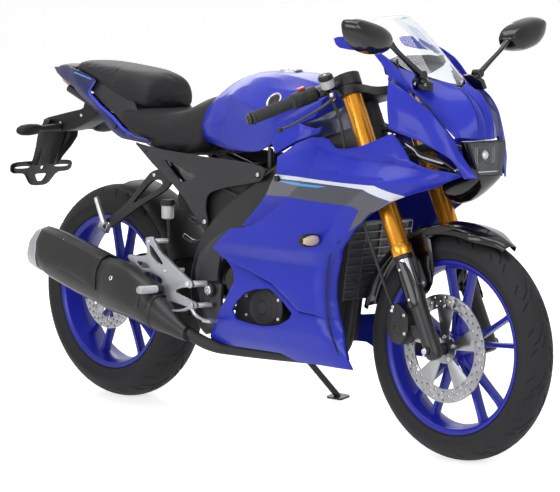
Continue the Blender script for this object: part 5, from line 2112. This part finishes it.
def plate_holder():
    """The tail's black mudguard, with its ribbed flap and the blank number plate's slotted bracket."""
    form = Form("plate_holder_arm", "chassis", "black")
    rings = []
    arm = soften(HOLDER_ARM, 1, 0.18)
    for side, share in ((-0.034, 0.90), (-0.031, 0.985), (-0.012, 1.0), (0.012, 1.0), (0.031, 0.985),
                        (0.034, 0.90)):
        rings.append([Vector((-0.20 + (x + 0.20) * share, side, 0.81 + (z - 0.81) * share)) for x, z in arm])
    form.loft(rings, "black")
    flap = []
    for x, z, half, deep in ((-0.322, 0.806, 0.050, 0.030), (-0.338, 0.782, 0.062, 0.046),
                             (-0.350, 0.752, 0.064, 0.050), (-0.362, 0.722, 0.058, 0.040),
                             (-0.376, 0.690, 0.052, 0.022), (-0.388, 0.664, 0.050, 0.012)):
        edge = [(0, 0.0), (0, 0.35), (0.010, 0.62), (0.004, 0.82), (deep * 0.3, 1.0), (deep, 1.02),
                (deep, 0.96), (deep * 0.3 + 0.006, 0.93), (0.012, 0.80), (0.016, 0.60), (0.007, 0.35),
                (0.007, 0.0)]
        near = [Vector((x + back, -side * half, z)) for back, side in edge]
        far = [Vector((x + back, side * half, z)) for back, side in reversed(edge[1:-1])]
        flap.append(near + far)
    form.loft(flap, "black")
    for side in (-1, 1):
        form.bolt((-0.3870, side * 0.030, 0.682), (-1, 0, 0.3), 0.0058, "bolt", 0.5)
        form.bolt((-0.1600, side * 0.0345, 0.826), (0, side, 0), 0.0052, "bolt", 0.5)
        form.bolt((-0.2600, side * 0.0345, 0.798), (0, side, 0), 0.0052, "bolt", 0.5)
    form.done(bevel=0.0015, segments=3, sharp=32, replaces=("plate_holder",), slot="black_plastic")

    bracket = Form("plate_slot_bracket", "chassis", "gloss")
    tilt = Matrix.Rotation(math.radians(14), 4, "Y")
    middle = Vector((-0.4040, 0, 0.612))

    def put(point):
        return middle + tilt @ Vector((point.y, point.x, point.z))

    outline = soften([(-0.118, 0.040), (-0.112, 0.062), (0.112, 0.062), (0.118, 0.040), (0.106, 0.030),
                      (0.062, 0.028), (0.032, -0.012), (-0.032, -0.012), (-0.062, 0.028), (-0.106, 0.030)], 1,
                     0.2)
    holes = [soften([(side * 0.076 - 0.029, 0.0435), (side * 0.076 + 0.029, 0.0435),
                     (side * 0.076 + 0.029, 0.0505), (side * 0.076 - 0.029, 0.0505)], 2, 0.3)
             for side in (-1, 1)]
    holes.append(soften([(-0.024, 0.024), (0.024, 0.024), (0.010, 0.000), (-0.010, 0.000)], 1, 0.15))
    holes.append([(0.0055 * math.cos(step * math.pi / 6), 0.044 + 0.0055 * math.sin(step * math.pi / 6))
                  for step in range(12)])
    bracket.plate(outline, -0.0020, 0.0020, "gloss", holes=holes, step=0.03, map_point=put)
    rim = [put(Vector((x, -0.0028, z))) for x, z in outline]
    bracket.sweep(rim + rim[:1], 0.0030, "gloss", sides=8, steps=2)
    bracket.done(bevel=0.0006, sharp=34, replaces=("plate_bracket",), slot="black_metal")


def indicator(name, root, tip, ahead, long_half, tall_half, lens, replaced):
    """A pod on a short stem, its lens towards the way that it signals."""
    form = Form(name, "chassis", "black")
    root, tip = Vector(root), Vector(tip)
    way = (tip - root).normalized()
    front = Vector((ahead, 0, 0))
    up = Vector((0, 0, 1))
    middle = tip - way * long_half
    rings = []
    for out, size in ((-1.0, 0.42), (-0.90, 0.66), (-0.60, 0.90), (0.0, 1.0), (0.60, 0.86), (0.90, 0.52),
                      (1.0, 0.22)):
        ring = []
        for a, b in soften([(-0.9, -0.75), (0.55, -1.0), (0.85, 0.0), (0.55, 1.0), (-0.9, 0.75)], 2, 0.25):
            ring.append(middle + way * (out * long_half) + front * (a * tall_half * 0.9 * size) + up
                        * (b * tall_half * size))
        rings.append(ring)
    form.loft(rings, "black")
    form.sweep([root, root + (middle - root) * 0.5, middle - way * (long_half * 0.7)],
               [tall_half * 0.62, tall_half * 0.46, tall_half * 0.52], "black", sides=16, steps=5)
    rings = []
    for out, size in ((-0.84, 0.52), (-0.55, 0.80), (0.0, 0.90), (0.55, 0.76), (0.86, 0.46)):
        ring = []
        for a, b in soften([(0.30, -0.92), (0.92, -0.55), (1.05, 0.0), (0.92, 0.55), (0.30, 0.92)], 2, 0.22):
            ring.append(middle + way * (out * long_half) + front * ((a + 0.12) * tall_half * 0.9 * size) + up
                        * (b * tall_half * size))
        rings.append(ring)
    form.loft(rings, lens)
    return form.mirror().done(bevel=0.0007, sharp=34, replaces=replaced, slot="black_plastic")


def indicators():
    """Both pairs of indicators."""
    indicator("front_indicators", (1.020, -0.186, 0.562), (1.048, -0.298, 0.566), 1, 0.046, 0.0200,
              "amber_lens", ("front_signals",))
    indicator("rear_indicators", (-0.262, -0.036, 0.786), (-0.276, -0.188, 0.779), -1, 0.044, 0.0195,
              "amber_lens", ("rear_signals",))


def repeat_group(name):
    """Geometry nodes: one shape set at each point of a mesh, made real and given its finish."""
    group = bpy.data.node_groups.new(name, "GeometryNodeTree")
    group.interface.new_socket(name="Geometry", in_out="INPUT", socket_type="NodeSocketGeometry")
    group.interface.new_socket(name="Shape", in_out="INPUT", socket_type="NodeSocketObject")
    group.interface.new_socket(name="Finish", in_out="INPUT", socket_type="NodeSocketMaterial")
    group.interface.new_socket(name="Geometry", in_out="OUTPUT", socket_type="NodeSocketGeometry")
    start = group.nodes.new("NodeGroupInput")
    end = group.nodes.new("NodeGroupOutput")
    shape = group.nodes.new("GeometryNodeObjectInfo")
    points = group.nodes.new("GeometryNodeMeshToPoints")
    placed = group.nodes.new("GeometryNodeInstanceOnPoints")
    real = group.nodes.new("GeometryNodeRealizeInstances")
    coat = group.nodes.new("GeometryNodeSetMaterial")
    group.links.new(start.outputs["Geometry"], points.inputs["Mesh"])
    group.links.new(start.outputs["Shape"], shape.inputs["Object"])
    group.links.new(points.outputs["Points"], placed.inputs["Points"])
    group.links.new(shape.outputs["Geometry"], placed.inputs["Instance"])
    group.links.new(placed.outputs["Instances"], real.inputs["Geometry"])
    group.links.new(real.outputs["Geometry"], coat.inputs["Geometry"])
    group.links.new(start.outputs["Finish"], coat.inputs["Material"])
    group.links.new(coat.outputs["Geometry"], end.inputs["Geometry"])
    return group


REPEAT = repeat_group("repeat_shape")


def repeated(name, body, spots, shape_points, shape_faces, finish):
    """One mesh of like shapes, set at spots on the upright machine."""
    shape_mesh = bpy.data.meshes.new(name + "_shape")
    shape_mesh.from_pydata([(PARK.to_3x3() @ Vector(point)) for point in shape_points], [], shape_faces)
    shape = bpy.data.objects.new(name + "_shape", shape_mesh)
    mesh = bpy.data.meshes.new(name)
    mesh.from_pydata([PARK @ Vector(spot) for spot in spots], [], [])
    piece = bpy.data.objects.new(name, mesh)
    bpy.context.scene.collection.objects.link(piece)
    bpy.context.scene.collection.objects.link(shape)
    made = piece.modifiers.new("repeat", "NODES")
    made.node_group = REPEAT
    for socket in REPEAT.interface.items_tree:
        if socket.name == "Shape":
            made[socket.identifier] = shape
        if socket.name == "Finish":
            made[socket.identifier] = PAINT[finish]
    settle(piece)
    bpy.data.objects.remove(shape)
    bpy.data.meshes.remove(shape_mesh)
    return give(piece, body)


def radiator_fins():
    """Upright fins between the radiator's tubes."""
    lean = Vector((0.032, 0, 0.205)).normalized()
    half = Vector((0.0012, 0, 0))
    tall = lean * 0.0062
    wide = Vector((0, 0.0007, 0))
    corners = [a * half * 2 + b * wide + c * tall for a in (-1, 1) for b in (-1, 1) for c in (-1, 1)]
    faces = [(0, 1, 3, 2), (4, 6, 7, 5), (0, 4, 5, 1), (2, 3, 7, 6), (0, 2, 6, 4), (1, 5, 7, 3)]
    spots = []
    for row in range(13):
        base = Vector((1.0215, 0, 0.4060)) + lean * (row * 0.0150)
        spots += [base + Vector((0, -0.104 + column * 0.0052, 0)) for column in range(41)]
    repeated("radiator_fins", "chassis", spots, corners, faces, "fin")


fairings()
nose()
tank()
tank_wings()
seats()
tail()
wheels()
forks()
mudguard()
front_brake()
brake_hose()
headlight()
running_lights()
chin()
screen()
nose_wings()
dash()
mirrors()
clip_on_bars()
grip_sleeves()
hand_levers()
switch_pods()
brake_fluid_pot()
fork_clamps()
silencer()
spars()
side_covers()
foot_rests()
pillion_rests()
inner_mudguard()
rear_pot()
engine_covers()
plate_holder()
indicators()
radiator_fins()

# Floor, backdrop, lights and camera.

def background_rays(tree, ray):
    """Rays that meet the white background: the camera's, and those that a gloss or a glass sends on."""
    first = node(tree, "ShaderNodeMath", operation="MAXIMUM")
    second = node(tree, "ShaderNodeMath", operation="MAXIMUM")
    tree.links.new(ray.outputs["Is Camera Ray"], first.inputs[0])
    tree.links.new(ray.outputs["Is Glossy Ray"], first.inputs[1])
    tree.links.new(first.outputs["Value"], second.inputs[0])
    tree.links.new(ray.outputs["Is Transmission Ray"], second.inputs[1])
    return second.outputs["Value"]


def studio():
    """White backdrop, pale floor and soft lamps."""
    scene = bpy.context.scene
    scene.view_settings.view_transform = "Standard"
    world = bpy.data.worlds.new("studio_air")
    scene.world = world
    world.use_nodes = True
    tree = world.node_tree
    tree.nodes.clear()
    ray = node(tree, "ShaderNodeLightPath")
    soft = node(tree, "ShaderNodeBackground", Color=(1, 1, 1, 1), Strength=0.22)
    seen = node(tree, "ShaderNodeBackground", Color=(1, 1, 1, 1), Strength=1.0)
    blend = node(tree, "ShaderNodeMixShader")
    out = node(tree, "ShaderNodeOutputWorld")
    tree.links.new(background_rays(tree, ray), blend.inputs["Fac"])
    tree.links.new(soft.outputs["Background"], blend.inputs[1])
    tree.links.new(seen.outputs["Background"], blend.inputs[2])
    tree.links.new(blend.outputs["Shader"], out.inputs["Surface"])

    floor_mesh = bpy.data.meshes.new("studio_floor")
    reach = 12
    floor_mesh.from_pydata([(-reach, -reach, 0), (reach, -reach, 0), (reach, reach, 0), (-reach, reach, 0)],
                           [], [(0, 1, 2, 3)])
    floor = bpy.data.objects.new("studio_floor", floor_mesh)
    scene.collection.objects.link(floor)
    pale = finish("pale_floor", (0.86, 0.86, 0.86, 1), rough=0.6, wear=0.005)
    tree = pale.node_tree
    shader = tree.nodes["Principled BSDF"]
    glow = node(tree, "ShaderNodeEmission", Color=(1, 1, 1, 1), Strength=0.66)
    add = node(tree, "ShaderNodeAddShader")
    ray = node(tree, "ShaderNodeLightPath")
    seen = node(tree, "ShaderNodeMixShader")
    out = tree.nodes["Material Output"]
    tree.links.new(shader.outputs["BSDF"], add.inputs[0])
    tree.links.new(glow.outputs["Emission"], add.inputs[1])
    tree.links.new(background_rays(tree, ray), seen.inputs["Fac"])
    tree.links.new(shader.outputs["BSDF"], seen.inputs[1])
    tree.links.new(add.outputs["Shader"], seen.inputs[2])
    tree.links.new(seen.outputs["Shader"], out.inputs["Surface"])
    floor_mesh.materials.append(pale)

    for name, spot, aim, wide, power in LIGHTS:
        data = bpy.data.lights.new(name, "AREA")
        data.shape = "RECTANGLE"
        data.size, data.size_y = wide
        data.energy = power
        lamp = bpy.data.objects.new(name, data)
        scene.collection.objects.link(lamp)
        lamp.location = spot
        lamp.rotation_euler = (Vector(aim) - Vector(spot)).to_track_quat("-Z", "Y").to_euler()


LIGHTS = (
    ("top_light", (0.3, -0.4, 4.2), (0.1, 0, 0.5), (3.6, 2.4), 105),
    ("front_light", (4.2, -1.6, 2.2), (0.2, 0, 0.6), (2.4, 2.0), 62),
    ("side_light", (0.4, -4.4, 2.0), (0, 0, 0.6), (3.6, 1.6), 78),
    ("back_light", (-3.4, 2.6, 2.6), (0, 0, 0.6), (2.4, 2.0), 48),
)
VIEW_TARGET = Vector((0.6645, 0, 0.5012))
VIEW_AZIMUTH = math.radians(46.17)
VIEW_LIFT = math.radians(6.12)
VIEW_ROLL = math.radians(0.6)
VIEW_DISTANCE = 7.135


def camera():
    """The camera at the photograph's place."""
    data = bpy.data.cameras.new("photo_camera")
    data.sensor_width = 36
    data.lens = 2571 * 36 / 560
    view = bpy.data.objects.new("photo_camera", data)
    bpy.context.scene.collection.objects.link(view)
    back = Vector((math.sin(VIEW_AZIMUTH) * math.cos(VIEW_LIFT),
                   -math.cos(VIEW_AZIMUTH) * math.cos(VIEW_LIFT), math.sin(VIEW_LIFT)))
    spot = VIEW_TARGET + back * VIEW_DISTANCE
    turn = (-back).to_track_quat("-Z", "Y").to_matrix().to_4x4() @ Matrix.Rotation(VIEW_ROLL, 4, "Z")
    view.matrix_world = PARK @ Matrix.Translation(spot) @ turn
    bpy.context.scene.camera = view


studio()
camera()
